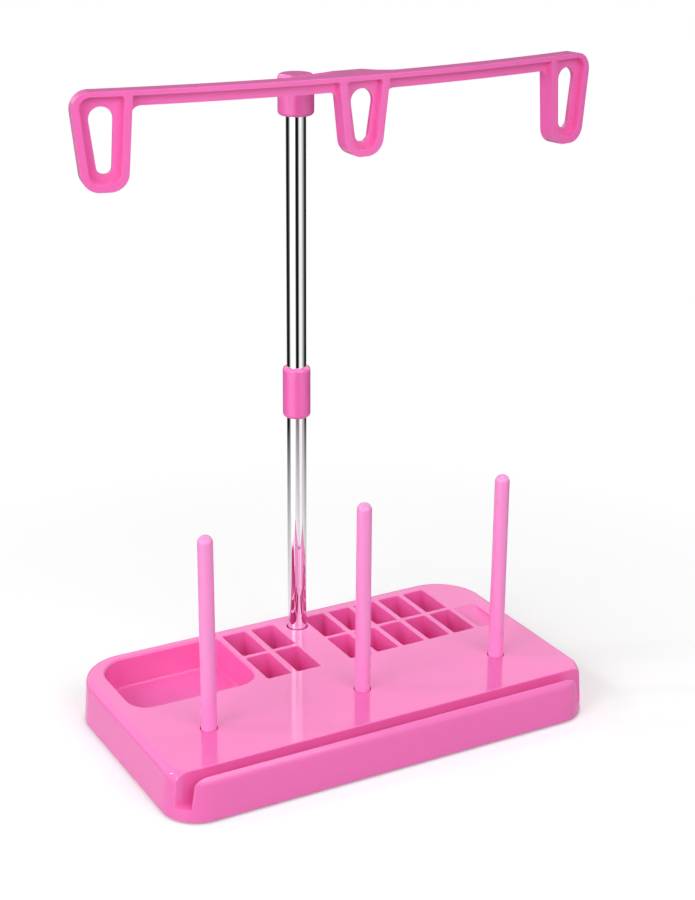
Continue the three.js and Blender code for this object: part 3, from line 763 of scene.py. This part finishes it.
def moulded_skin():
    """Tone and roughness that drift as plastic does in a mould, with a fine grain for the bump."""
    existing = bpy.data.node_groups.get("moulded_skin")
    if existing:
        return existing
    group, given, result = node_group(
        "moulded_skin",
        [("Drift", 0.03), ("Roughness", 0.3), ("Roughness Drift", 0.06)],
        ["Tone", "Roughness", "Grain"],
    )
    coordinates = add_node(group, "TexCoord").outputs["Object"]
    flow = remap(group, noise(group, coordinates, scale=18.0, detail=2.0), 0.3, 0.7, -1.0, 1.0)
    mottle = remap(group, noise(group, coordinates, scale=160.0, detail=3.0), 0.3, 0.7, -1.0, 1.0)
    tone = compute(group, "MULTIPLY_ADD", flow, given.outputs["Drift"], 1.0)
    rough = compute(
        group, "MULTIPLY_ADD", mottle, given.outputs["Roughness Drift"], given.outputs["Roughness"]
    )
    feed(group, tone, result.inputs["Tone"])
    feed(group, rough, result.inputs["Roughness"])
    feed(group, noise(group, coordinates, scale=2600.0, detail=2.0, roughness=0.6), result.inputs["Grain"])
    return group


def edge_mask():
    """Mask of the outer edges within a width, from the difference between true and rounded normals, for a
    painted highlight along them.
    """
    existing = bpy.data.node_groups.get("edge_mask")
    if existing:
        return existing
    group, given, result = node_group("edge_mask", [("Strength", 1.0)], ["Edge"])
    bevel = add_node(group, "Bevel", Radius=0.0009)
    bevel.samples = 4
    alike = group.nodes.new("ShaderNodeVectorMath")
    alike.operation = "DOT_PRODUCT"
    feed(group, bevel.outputs["Normal"], alike.inputs[0])
    feed(group, add_node(group, "NewGeometry").outputs["Normal"], alike.inputs[1])
    mask = remap(group, alike.outputs["Value"], 0.995, 0.8, 0.0, 1.0)
    feed(group, compute(group, "MULTIPLY", mask, given.outputs["Strength"]), result.inputs["Edge"])
    return group


def handling_marks():
    """Sparse hairlines and faint smears left by hands."""
    existing = bpy.data.node_groups.get("handling_marks")
    if existing:
        return existing
    group, given, result = node_group("handling_marks", [("Amount", 0.1)], ["Marks"])
    coordinates = add_node(group, "TexCoord").outputs["Object"]
    stretch = add_node(
        group, "Mapping", Vector=coordinates, Rotation=(0.3, 0.2, 0.5), Scale=(1.0, 14.0, 14.0)
    )
    hairs = noise(group, stretch.outputs["Vector"], scale=90.0, detail=5.0, roughness=0.7)
    smears = noise(group, coordinates, scale=45.0, detail=3.0)
    hair_mask = remap(group, hairs, 0.66, 0.74, 0.0, 1.0)
    smear_mask = remap(group, smears, 0.5, 0.75, 0.0, 0.5)
    both = compute(group, "MAXIMUM", hair_mask, smear_mask)
    feed(group, compute(group, "MULTIPLY", both, given.outputs["Amount"]), result.inputs["Marks"])
    return group


def placed(tree, group, **values):
    """Places a group in a material with its own values."""
    node = tree.nodes.new("ShaderNodeGroup")
    node.node_tree = group
    for name, value in values.items():
        node.inputs[name.replace("_", " ")].default_value = value
    return node


def new_material(name):
    """Material with a bare Principled surface; returns it, its tree and the shader."""
    material = bpy.data.materials.new(name)
    material.use_nodes = True
    tree = material.node_tree
    return material, tree, tree.nodes["Principled BSDF"]


def moulded_plastic(name, tint, roughness):
    """Glossy moulded plastic with a painted highlight along its edges, mould drift, fine grain and handling
    marks.
    """
    existing = bpy.data.materials.get(name)
    if existing:
        return existing
    material, tree, shader = new_material(name)
    shader.inputs["IOR"].default_value = 1.46
    shader.inputs["Subsurface Weight"].default_value = 0.3
    shader.inputs["Subsurface Radius"].default_value = (1.0, 0.35, 0.6)
    shader.inputs["Subsurface Scale"].default_value = 0.004

    skin = placed(tree, moulded_skin(), Drift=0.008, Roughness=roughness, Roughness_Drift=0.02)
    # Painted highlight: the edge mask mixes a paler tint into the colour along the edges
    edges = placed(tree, edge_mask(), Strength=0.12)
    marks = placed(tree, handling_marks(), Amount=0.03)
    toned = blended(tree, "MULTIPLY", 1.0, (*tint, 1.0), skin.outputs["Tone"])
    edge_highlight_tint = (*(min(1.0, c * EDGE_HIGHLIGHT_TINT + EDGE_HIGHLIGHT_LIFT) for c in tint), 1.0)
    lit = blended(tree, "MIX", edges.outputs["Edge"], toned, edge_highlight_tint)
    feed(tree, lit, shader.inputs["Base Color"])
    rough = compute(tree, "ADD", skin.outputs["Roughness"], marks.outputs["Marks"])
    feed(tree, rough, shader.inputs["Roughness"])
    add_bump(tree, shader, skin.outputs["Grain"], strength=0.06, distance=0.00002)
    return material


def shell_plastic(finish):
    return moulded_plastic("pink_shell_plastic", finish.shell, roughness=0.11)


# Its lighter pink is partly painted light
def pin_plastic(finish):
    return moulded_plastic("pink_pin_plastic", finish.pin, roughness=0.1)


def chrome(finish):
    """Bright plating with faint lengthwise draw lines and smears."""
    existing = bpy.data.materials.get("chrome_plating")
    if existing:
        return existing
    material, tree, shader = new_material("chrome_plating")
    shader.inputs["Metallic"].default_value = 1.0
    coordinates = add_node(tree, "TexCoord").outputs["Object"]
    stretch = add_node(tree, "Mapping", Vector=coordinates, Scale=(1.0, 1.0, 0.012))
    lines = noise(tree, stretch.outputs["Vector"], scale=2200.0, detail=3.0, roughness=0.6)
    marks = placed(tree, handling_marks(), Amount=0.03)
    dulled = (*(c * LINE_SHADE for c in finish.plating), 1.0)
    tint = blended(
        tree, "MIX", remap(tree, lines, 0.35, 0.65, 0.0, 1.0), (*finish.plating, 1.0), dulled
    )
    feed(tree, tint, shader.inputs["Base Color"])
    rough = compute(tree, "ADD", remap(tree, lines, 0.3, 0.7, 0.015, 0.04), marks.outputs["Marks"])
    feed(tree, rough, shader.inputs["Roughness"])
    add_bump(tree, shader, lines, strength=0.05, distance=0.00001)
    return material


def foot_rubber(finish):
    """Matt black rubber with a fine grain."""
    material, tree, shader = new_material("foot_rubber")
    skin = placed(tree, moulded_skin(), Drift=0.15, Roughness=0.8)
    toned = blended(tree, "MULTIPLY", 1.0, (*finish.rubber, 1.0), skin.outputs["Tone"])
    feed(tree, toned, shader.inputs["Base Color"])
    feed(tree, skin.outputs["Roughness"], shader.inputs["Roughness"])
    add_bump(tree, shader, skin.outputs["Grain"], strength=0.4, distance=0.00005)
    return material


# Guide arm, modelled flat along its bow as (s, y, z) and then bent


def bow(sizes):
    """Centre of the bow's circle and its radius."""
    _, mast_y = mast_axis()
    return mast_y - sizes.reach + sizes.bow_radius, sizes.bow_radius


def bent(point, sizes):
    """From the flat arm to the frame: s along the bow, y behind the bar's back face."""
    centre_y, radius = bow(sizes)
    s, y, z = point
    angle = s / radius
    return (radius - y) * math.sin(angle), centre_y - (radius - y) * math.cos(angle), z


def flattened(point, sizes):
    """From the frame to the flat arm."""
    centre_y, radius = bow(sizes)
    x, y, z = point
    away = centre_y - y
    return math.atan2(x, away) * radius, radius - math.hypot(x, away), z


LOOPS = {
    "outer": {
        "centre": 0.1153, "half_top": 0.0131, "half_bottom": 0.0094, "lean": -0.0006, "drop": 0.0415,
        "bottom_radius": 0.008, "top_radius": 0.008,
        "hole": ((0.0116, 0.0051), (0.0312, 0.0033)),
    },
    "middle": {
        "centre": 0.0, "half_top": 0.0124, "half_bottom": 0.0085, "lean": 0.0, "drop": 0.035,
        "bottom_radius": 0.008, "top_radius": 0.002,
        "hole": ((0.0113, 0.0054), (0.0257, 0.0033)),
    },
}


def loop_edge(loop, side, outward, z):
    """Place along the arm of a loop's drafted side, z below the arm's top."""
    share = -z / loop["drop"]
    centre = loop["centre"] + loop["lean"] * share
    half = loop["half_top"] + (loop["half_bottom"] - loop["half_top"]) * share
    return side * (centre + outward * half)


def loop_corners(loop, side, margin, top, outer_top, inner_top):
    """Corners (s, z, radius) of a loop drawn in by a margin."""
    bottom = -loop["drop"] + margin
    low = loop["bottom_radius"] - margin

    def at(outward, z, radius):
        return loop_edge(loop, side, outward, z) - side * outward * margin, z, radius

    return [at(1, top, outer_top), at(1, bottom, low), at(-1, bottom, low), at(-1, top, inner_top)]


def rounded_path(corners, steps):
    """Points of a polygon with an arc at each corner that has a radius."""
    points = []
    count = len(corners)
    for i, (s, z, radius) in enumerate(corners):
        here = Vector((s, z))
        back = (Vector(corners[i - 1][:2]) - here).normalized()
        ahead = (Vector(corners[(i + 1) % count][:2]) - here).normalized()
        if radius <= 0:
            points.append((s, z))
            continue
        half = math.acos(max(-1.0, min(1.0, back.dot(ahead)))) / 2
        run = radius / math.tan(half)
        centre = here + (back + ahead).normalized() * (radius / math.sin(half))
        start, end = here + back * run - centre, here + ahead * run - centre
        turn = start.angle_signed(end)
        for k in range(steps + 1):
            arm = start.copy()
            arm.rotate(Matrix.Rotation(-turn * k / steps, 2))
            points.append(tuple(centre + arm))
    return points


def thread_hole(loop, side, steps):
    """Tapered hole: two circles joined by their common tangents."""
    (top_drop, top_radius), (low_drop, low_radius) = loop["hole"]
    top = Vector((side * loop["centre"], -top_drop))
    low = Vector((side * (loop["centre"] + loop["lean"]), -low_drop))
    along = top - low
    axis = math.atan2(along.y, along.x)
    lead = math.acos((top_radius - low_radius) / along.length)
    points = []
    for centre, radius, start, sweep in (
        (top, top_radius, axis - math.pi + lead, 2 * (math.pi - lead)),
        (low, low_radius, axis + math.pi - lead, 2 * lead),
    ):
        for k in range(steps + 1):
            angle = start + sweep * k / steps
            points.append((centre.x + radius * math.cos(angle), centre.y + radius * math.sin(angle)))
    return points


def panel(name, outline, front, back):
    """Upright plate of a front-view outline (s, z), between two depths."""
    area = sum(a[0] * b[1] - b[0] * a[1] for a, b in zip(outline, outline[1:] + outline[:1]))
    points = outline if area > 0 else list(reversed(outline))
    return lofted(name, [[(s, y, arm_high.z + z) for s, z in points] for y in (back, front)])


def web_faces(sizes):
    """Front and back of the upright web, which stands in the middle of the arm's depth."""
    return -(sizes.depth + sizes.web) / 2, -(sizes.depth - sizes.web) / 2


def hanging_loop(sizes, loop, side):
    """Deep rim and the thin web with its thread hole."""
    steps = 12
    depth, rim_width = sizes.depth, sizes.rim
    recess_radius = 0.0015
    outline = rounded_path(loop_corners(loop, side, 0, 0, loop["top_radius"], 0), steps)
    rim = panel("rim", outline, -depth, 0)
    high = max(loop["top_radius"] - rim_width, recess_radius)
    recess = rounded_path(loop_corners(loop, side, rim_width, -sizes.flange, high, recess_radius), steps)
    cut(rim, panel("recess", recess, -depth - RUN_OUT, RUN_OUT), "DIFFERENCE")
    half = rim_width / 2
    top_radius = max(loop["top_radius"] - half, 0)
    front, back = web_faces(sizes)
    plate = rounded_path(loop_corners(loop, side, half, -sizes.flange / 2, top_radius, 0), steps)
    web = panel("web", plate, front, back)
    cut(web, panel("hole", thread_hole(loop, side, 20), front - RUN_OUT, back + RUN_OUT), "DIFFERENCE")
    cut(rim, web, "UNION")
    return rim


def bar_gusset(sizes, loop, side, outward):
    """Concave fillet between the underside of a bar and the side of a loop."""
    under = -sizes.bar_height
    edge = loop_edge(loop, side, outward, under)
    away = side * outward
    sink = sizes.rim / 2
    outline = [(edge - away * sink, under + sink), (edge + away * sizes.fillet, under + sink)]
    for angle in quarter_turn(8):
        outline.append((
            edge + away * sizes.fillet * (1 - math.sin(angle)), under - sizes.fillet * (1 - math.cos(angle))
        ))
    outline.append((edge - away * sink, under - sizes.fillet))
    return panel("gusset", outline, *web_faces(sizes))


def arm_bars(sizes):
    """Top flange and web of the two straight stretches."""
    outer = loop_edge(LOOPS["outer"], 1, -1, -sizes.flange) + sizes.rim / 2
    inner = loop_edge(LOOPS["middle"], 1, 1, -sizes.flange) - sizes.rim / 2
    under, inside = -sizes.bar_height, -sizes.flange / 2
    pieces = []
    for s0, s1 in ((-outer, -inner), (inner, outer)):
        flange = [(s0, -sizes.flange), (s1, -sizes.flange), (s1, 0), (s0, 0)]
        web = [(s0, under), (s1, under), (s1, inside), (s0, inside)]
        pieces.append(panel("flange", flange, -sizes.depth, 0))
        pieces.append(panel("web", web, *web_faces(sizes)))
    return pieces


def neck_piece(sizes, name, half_width, under):
    """Swept plate or rib from the hub into the bow, in the flat arm's coordinates."""
    mast_x, mast_y = mast_axis()
    start = tube_radius
    end = sizes.reach + sizes.depth / 2
    hub_radius = sizes.hub_diameter / 2
    hub_top = arm_top_at_hub(sizes)
    steps = 40
    rings = []
    for i in range(steps + 1):
        distance = start + (end - start) * i / steps
        rise = (distance - hub_radius) / (sizes.reach - sizes.neck_flare / 2 - hub_radius)
        top = hub_top + (arm_high.z - hub_top) * min(1.0, max(0.0, rise))
        half = half_width(distance)
        y = mast_y - distance
        high, low = top - under[0], top - under[1]
        corners = [(-half, low), (half, low), (half, high), (-half, high)]
        rings.append([flattened((mast_x + x, y, z), sizes) for x, z in corners])
    return lofted(name, rings)


def arm_top_at_hub(sizes):
    """Height of the hub's top: its socket's floor lies a clearance above the upper tube."""
    return upper_high.z + CLEARANCE + sizes.hub_height - sizes.hub_socket


def arm_neck(sizes):
    flare = sizes.neck_flare

    def plate_half(distance):
        into = min(flare, max(0.0, distance - sizes.reach + flare))
        return sizes.neck_width / 2 + flare - math.sqrt(flare ** 2 - into ** 2)

    def rib_half(distance):
        return sizes.neck_rib / 2

    return [
        neck_piece(sizes, "neck", plate_half, (0, sizes.flange)),
        neck_piece(sizes, "rib", rib_half, (sizes.flange / 2, sizes.neck_rib_height)),
    ]


def hub_turned(sizes, name, profile):
    """Turned piece on the mast's axis, brought into the flat arm's coordinates."""
    bm = bmesh.new()
    turned(bm, profile, *mast_axis(), SMALL_FACETS)
    for vertex in bm.verts:
        vertex.co = flattened(vertex.co, sizes)
    return object_from(name, bm)


def tidy_flat(piece):
    """Merges faces in one plane and points in one line, which booleans split."""
    bm = bmesh.new()
    bm.from_mesh(piece.data)
    bmesh.ops.remove_doubles(bm, verts=bm.verts, dist=2e-6)
    bmesh.ops.dissolve_limit(
        bm, angle_limit=math.radians(0.6), verts=bm.verts, edges=bm.edges, use_dissolve_boundaries=False
    )
    bm.to_mesh(piece.data)
    bm.free()


def bend_arm(piece, sizes):
    """Slices the flat arm every few millimetres and bends it round the bow."""
    bm = bmesh.new()
    bm.from_mesh(piece.data)
    step = 0.004
    reach = int(max(abs(v.co.x) for v in bm.verts) / step)
    for i in range(-reach, reach + 1):
        bmesh.ops.bisect_plane(
            bm, geom=bm.verts[:] + bm.edges[:] + bm.faces[:], dist=1e-6,
            plane_co=(i * step, 0, 0), plane_no=(1, 0, 0),
        )
    for vertex in bm.verts:
        vertex.co = bent(vertex.co, sizes)
    bm.normal_update()
    bm.to_mesh(piece.data)
    bm.free()


class BuildArm(bpy.types.Operator):
    """Builds the bowed guide arm with its hub, neck and three hanging loops"""

    bl_idname = "thread_stand.build_arm"
    bl_label = "Guide Arm"

    def execute(self, context):
        sizes = context.scene.stand_arm
        arm = hanging_loop(sizes, LOOPS["middle"], 1)
        arm.name = "guide_arm"
        parts = [hanging_loop(sizes, LOOPS["outer"], side) for side in (-1, 1)]
        parts += arm_bars(sizes)
        for side in (-1, 1):
            parts.append(bar_gusset(sizes, LOOPS["outer"], side, -1))
            parts.append(bar_gusset(sizes, LOOPS["middle"], 1, side))
        parts += arm_neck(sizes)
        radius, soft = sizes.hub_diameter / 2, 0.002
        top = arm_top_at_hub(sizes)
        low = top - sizes.hub_height
        profile = [(0, low)] + arc(radius - soft, low + soft, soft, -1, 0, steps=6)
        profile += arc(radius - soft, top - soft, soft, 0, 1, steps=6) + [(0, top)]
        parts.append(hub_turned(sizes, "hub", profile))
        for part in parts:
            cut(arm, part, "UNION")
        bore = (upper_high.x - upper_low.x) / 2 + CLEARANCE
        under, ceiling = low - RUN_OUT, low + sizes.hub_socket
        hole = [(0, under), (bore, under), (bore, ceiling), (0, ceiling)]
        cut(arm, hub_turned(sizes, "socket", hole), "DIFFERENCE")
        tidy_flat(arm)
        bevel = arm.modifiers.new("edges", "BEVEL")
        bevel.width = sizes.edge
        bevel.segments = 3
        bevel.limit_method = "ANGLE"
        bevel.angle_limit = math.radians(35)
        bevel.use_clamp_overlap = True
        settle(arm)
        bend_arm(arm, sizes)
        smooth(arm, math.radians(35))
        seat(arm, shell_plastic(context.scene.stand_finish), "shell_plastic", "guide_arm", "thread_guide_arm")
        return {"FINISHED"}


# Stage


def ray_share(tree, kind):
    """1 for rays of the given kind and 0 for the rest."""
    return add_node(tree, "LightPath").outputs[kind]


def mixed(tree, share, first, second):
    """Shader that goes from the first to the second with a share."""
    node = add_node(tree, "MixShader", Fac=share)
    feed(tree, first, node.inputs[1])
    feed(tree, second, node.inputs[2])
    return node.outputs["Shader"]


def glow(tree, level):
    return add_node(tree, "Emission", Strength=level).outputs["Emission"]


def plain_diffuse(tree, tint):
    return add_node(tree, "BsdfDiffuse", Color=(*tint, 1.0)).outputs["BSDF"]


# Floor near the stand: its own light, which leaves a faint shadow, and how much of it other rays see
FLOOR_GLOW = 0.2
FLOOR_BOUNCE = 0.6
# Distances from the origin over which the floor turns plain white, and fades out of reflections
WHITE_FROM, WHITE_TO = 0.16, 0.34
MIRROR_FROM, MIRROR_TO = 0.1, 0.41


def studio_floor(finish):
    """White floor with a faint shadow near the stand; mirrors lose it with the distance."""
    material, tree, shader = new_material("studio_floor")
    tree.nodes.remove(shader)
    apart = tree.nodes.new("ShaderNodeVectorMath")
    apart.operation = "LENGTH"
    feed(tree, add_node(tree, "NewGeometry").outputs["Position"], apart.inputs[0])
    distance = apart.outputs["Value"]

    shadowed = tree.nodes.new("ShaderNodeAddShader")
    feed(tree, glow(tree, FLOOR_GLOW), shadowed.inputs[0])
    feed(tree, plain_diffuse(tree, finish.floor), shadowed.inputs[1])
    plain_share = remap(tree, distance, WHITE_FROM, WHITE_TO, 0.0, 1.0)
    near = mixed(tree, plain_share, shadowed.outputs["Shader"], glow(tree, 1.0))
    clear = add_node(tree, "BsdfTransparent").outputs["BSDF"]
    mirrored = mixed(tree, remap(tree, distance, MIRROR_FROM, MIRROR_TO, 0.0, 1.0), near, clear)

    bounce = plain_diffuse(tree, [c * FLOOR_BOUNCE for c in finish.floor])
    seen = mixed(tree, ray_share(tree, "Is Camera Ray"), bounce, near)
    final = mixed(tree, ray_share(tree, "Is Glossy Ray"), seen, mirrored)
    feed(tree, final, tree.nodes["Material Output"].inputs["Surface"])
    return material


# Where the room is bright or dark round the stand, as (degrees right of the camera, brightness)
ROOM_BANDS = (
    (-180, 0.3), (-152, 0.3), (-135, 0.01), (-96, 0.01), (-86, 0.15), (-73, 0.65), (-60, 2.1), (-20, 2.1),
    (-12, 1.0), (-6, 0.4), (-1, 0.005), (24, 0.01), (32, 0.5), (39, 1.1), (58, 1.1), (70, 0.85), (84, 0.5),
    (98, 0.2), (112, 0.012), (179, 0.01),
)
# Heights, as the rise of a ray, where the wall starts above the bands and where its upper part starts
HORIZON = 0.03
UPPER_FROM, UPPER_TO = 0.22, 0.36
# Turn in radians over which the wall's low part goes dark behind the camera, and the level it falls to
BEHIND_FROM, BEHIND_TO = 2.4, 2.8
BEHIND_LEVEL = 0.15
WHITE = (1.0, 1.0, 1.0, 1.0)


def studio_world(settings):
    """White to the camera, banded light and dark to mirrors, and an even fill for the rest."""
    world = bpy.data.worlds.new("studio")
    bpy.context.scene.world = world
    world.use_nodes = True
    tree = world.node_tree
    fill = tree.nodes["Background"]
    fill.inputs["Color"].default_value = WHITE
    fill.inputs["Strength"].default_value = settings.fill
    turn = add_node(
        tree, "Mapping", Vector=add_node(tree, "TexCoord").outputs["Generated"],
        Rotation=(0, 0, settings.azimuth + math.pi / 2),
    )
    turn.vector_type = "VECTOR"
    split = add_node(tree, "SeparateXYZ", Vector=turn.outputs["Vector"])
    heading = compute(tree, "ARCTAN2", split.outputs["Y"], split.outputs["X"])
    height = split.outputs["Z"]

    ramp = add_node(tree, "ValToRGB", Fac=remap(tree, heading, -math.pi, math.pi, 0.0, 1.0))
    stops = ramp.color_ramp.elements
    while len(stops) > 1:
        stops.remove(stops[-1])
    for i, (degrees, level) in enumerate(ROOM_BANDS):
        position = (degrees + 180) / 360
        stop = stops[0] if i == 0 else stops.new(position)
        stop.position = position
        stop.color = (level, level, level, 1.0)
    bands = add_node(tree, "Background", Color=ramp.outputs["Color"])

    aside = compute(tree, "ABSOLUTE", heading)
    low_level = remap(tree, aside, BEHIND_FROM, BEHIND_TO, settings.wall_level, BEHIND_LEVEL)
    sky_level = remap(tree, height, UPPER_FROM, UPPER_TO, low_level, settings.wall_level)
    sky = add_node(tree, "Background", Color=WHITE, Strength=sky_level)
    white = add_node(tree, "Background", Color=WHITE)
    over_bands = remap(tree, height, -HORIZON, HORIZON, 0.0, 1.0)
    gloss = mixed(tree, over_bands, bands.outputs[0], sky.outputs[0])
    unseen = mixed(tree, ray_share(tree, "Is Glossy Ray"), fill.outputs[0], gloss)
    straight = compute(
        tree, "MAXIMUM", ray_share(tree, "Is Camera Ray"), ray_share(tree, "Is Transmission Ray")
    )
    final = mixed(tree, straight, unseen, white.outputs[0])
    feed(tree, final, tree.nodes["World Output"].inputs["Surface"])


# Square lamps: name, place, size and the setting that holds their power
LAMPS = (
    ("front_lamp", (0.15, -1.2, 1.0), 1.0, "front_power"),
    ("side_lamp", (-1.3, -0.47, 0.72), 1.0, "side_power"),
    ("overhead_lamp", (0.14, 0.07, 1.5), 0.15, "spark_power"),
    ("back_lamp", (-1.1, 0.51, 0.98), 0.15, "spark_power"),
)
LAMP_TARGET = (0.0, 0.0, 0.1)


def softbox(name, position, size, power):
    """Square lamp that faces the stand."""
    lamp = bpy.data.lights.new(name, "AREA")
    lamp.size = size
    lamp.energy = power
    holder = bpy.data.objects.new(name, lamp)
    bpy.context.scene.collection.objects.link(holder)
    holder.location = position
    ahead = Vector(LAMP_TARGET) - Vector(position)
    holder.rotation_euler = ahead.to_track_quat("-Z", "Y").to_euler()


def studio_camera(settings):
    """Camera from its heading, elevation, roll, aim point and distance."""
    azimuth, elevation = settings.azimuth, settings.elevation
    forward = Vector((
        math.sin(azimuth) * math.cos(elevation), math.cos(azimuth) * math.cos(elevation), -math.sin(elevation)
    ))
    level_right = Vector((math.cos(azimuth), -math.sin(azimuth), 0.0))
    level_up = level_right.cross(forward)
    right = level_right * math.cos(settings.roll) + level_up * math.sin(settings.roll)
    up = level_up * math.cos(settings.roll) - level_right * math.sin(settings.roll)
    data = bpy.data.cameras.new("camera")
    data.sensor_fit = "VERTICAL"
    data.sensor_height = 24.0
    data.lens = settings.focal_length
    data.clip_start = 0.01
    camera = bpy.data.objects.new("camera", data)
    bpy.context.scene.collection.objects.link(camera)
    position = Vector(settings.aim) - forward * settings.distance
    turn = Matrix((right, up, -forward)).transposed().to_4x4()
    camera.matrix_world = Matrix.Translation(position) @ turn
    bpy.context.scene.camera = camera


class BuildStage(bpy.types.Operator):
    """Builds the floor, the room, the lamps and the camera"""

    bl_idname = "thread_stand.build_stage"
    bl_label = "Studio Stage"

    def execute(self, context):
        settings = context.scene.stand_stage
        half = 4.0
        bm = bmesh.new()
        bm.faces.new([bm.verts.new(point) for point in (
            (-half, -half, 0), (half, -half, 0), (half, half, 0), (-half, half, 0)
        )])
        floor = object_from("floor", bm)
        floor.data.materials.append(studio_floor(context.scene.stand_finish))
        studio_world(settings)
        for name, position, size, power in LAMPS:
            softbox(name, position, size, getattr(settings, power))
        studio_camera(settings)
        context.scene.view_settings.view_transform = "Standard"
        return {"FINISHED"}


class StandPanel(bpy.types.Panel):
    """Lists the pieces, their sizes and the stage"""

    bl_idname = "VIEW3D_PT_thread_stand"
    bl_label = "Thread Cone Stand"
    bl_space_type = "VIEW_3D"
    bl_region_type = "UI"
    bl_category = "Thread Stand"

    def draw(self, context):
        scene = context.scene
        for title, operators, group in (
            ("Base", (BuildBase, BuildFeet), scene.stand_base),
            ("Pins and Mast", (BuildPins, BuildMast), scene.stand_mast),
            ("Guide Arm", (BuildArm,), scene.stand_arm),
            ("Finishes", (), scene.stand_finish),
            ("Stage", (BuildStage,), scene.stand_stage),
        ):
            box = self.layout.box()
            box.label(text=title)
            for operator in operators:
                box.operator(operator.bl_idname)
            for name in group.bl_rna.properties.keys():
                if name not in ("rna_type", "name"):
                    box.prop(group, name)


SETTINGS = {
    "stand_base": BaseSizes,
    "stand_mast": MastSizes,
    "stand_arm": ArmSizes,
    "stand_finish": Finishes,
    "stand_stage": StageSettings,
}
OPERATORS = (BuildBase, BuildFeet, BuildPins, BuildMast, BuildArm, BuildStage)


def register():
    for group in SETTINGS.values():
        bpy.utils.register_class(group)
    for operator in OPERATORS:
        bpy.utils.register_class(operator)
    bpy.utils.register_class(StandPanel)
    for name, group in SETTINGS.items():
        setattr(bpy.types.Scene, name, PointerProperty(type=group))


def unregister():
    for name in SETTINGS:
        delattr(bpy.types.Scene, name)
    bpy.utils.unregister_class(StandPanel)
    for operator in reversed(OPERATORS):
        bpy.utils.unregister_class(operator)
    for group in reversed(SETTINGS.values()):
        bpy.utils.unregister_class(group)


def main():
    """Registers the add-on and builds every piece and the stage."""
    register()
    bpy.ops.thread_stand.build_base()
    bpy.ops.thread_stand.build_feet()
    bpy.ops.thread_stand.build_pins()
    bpy.ops.thread_stand.build_mast()
    bpy.ops.thread_stand.build_arm()
    bpy.ops.thread_stand.build_stage()


if __name__ == "__main__":
    main()
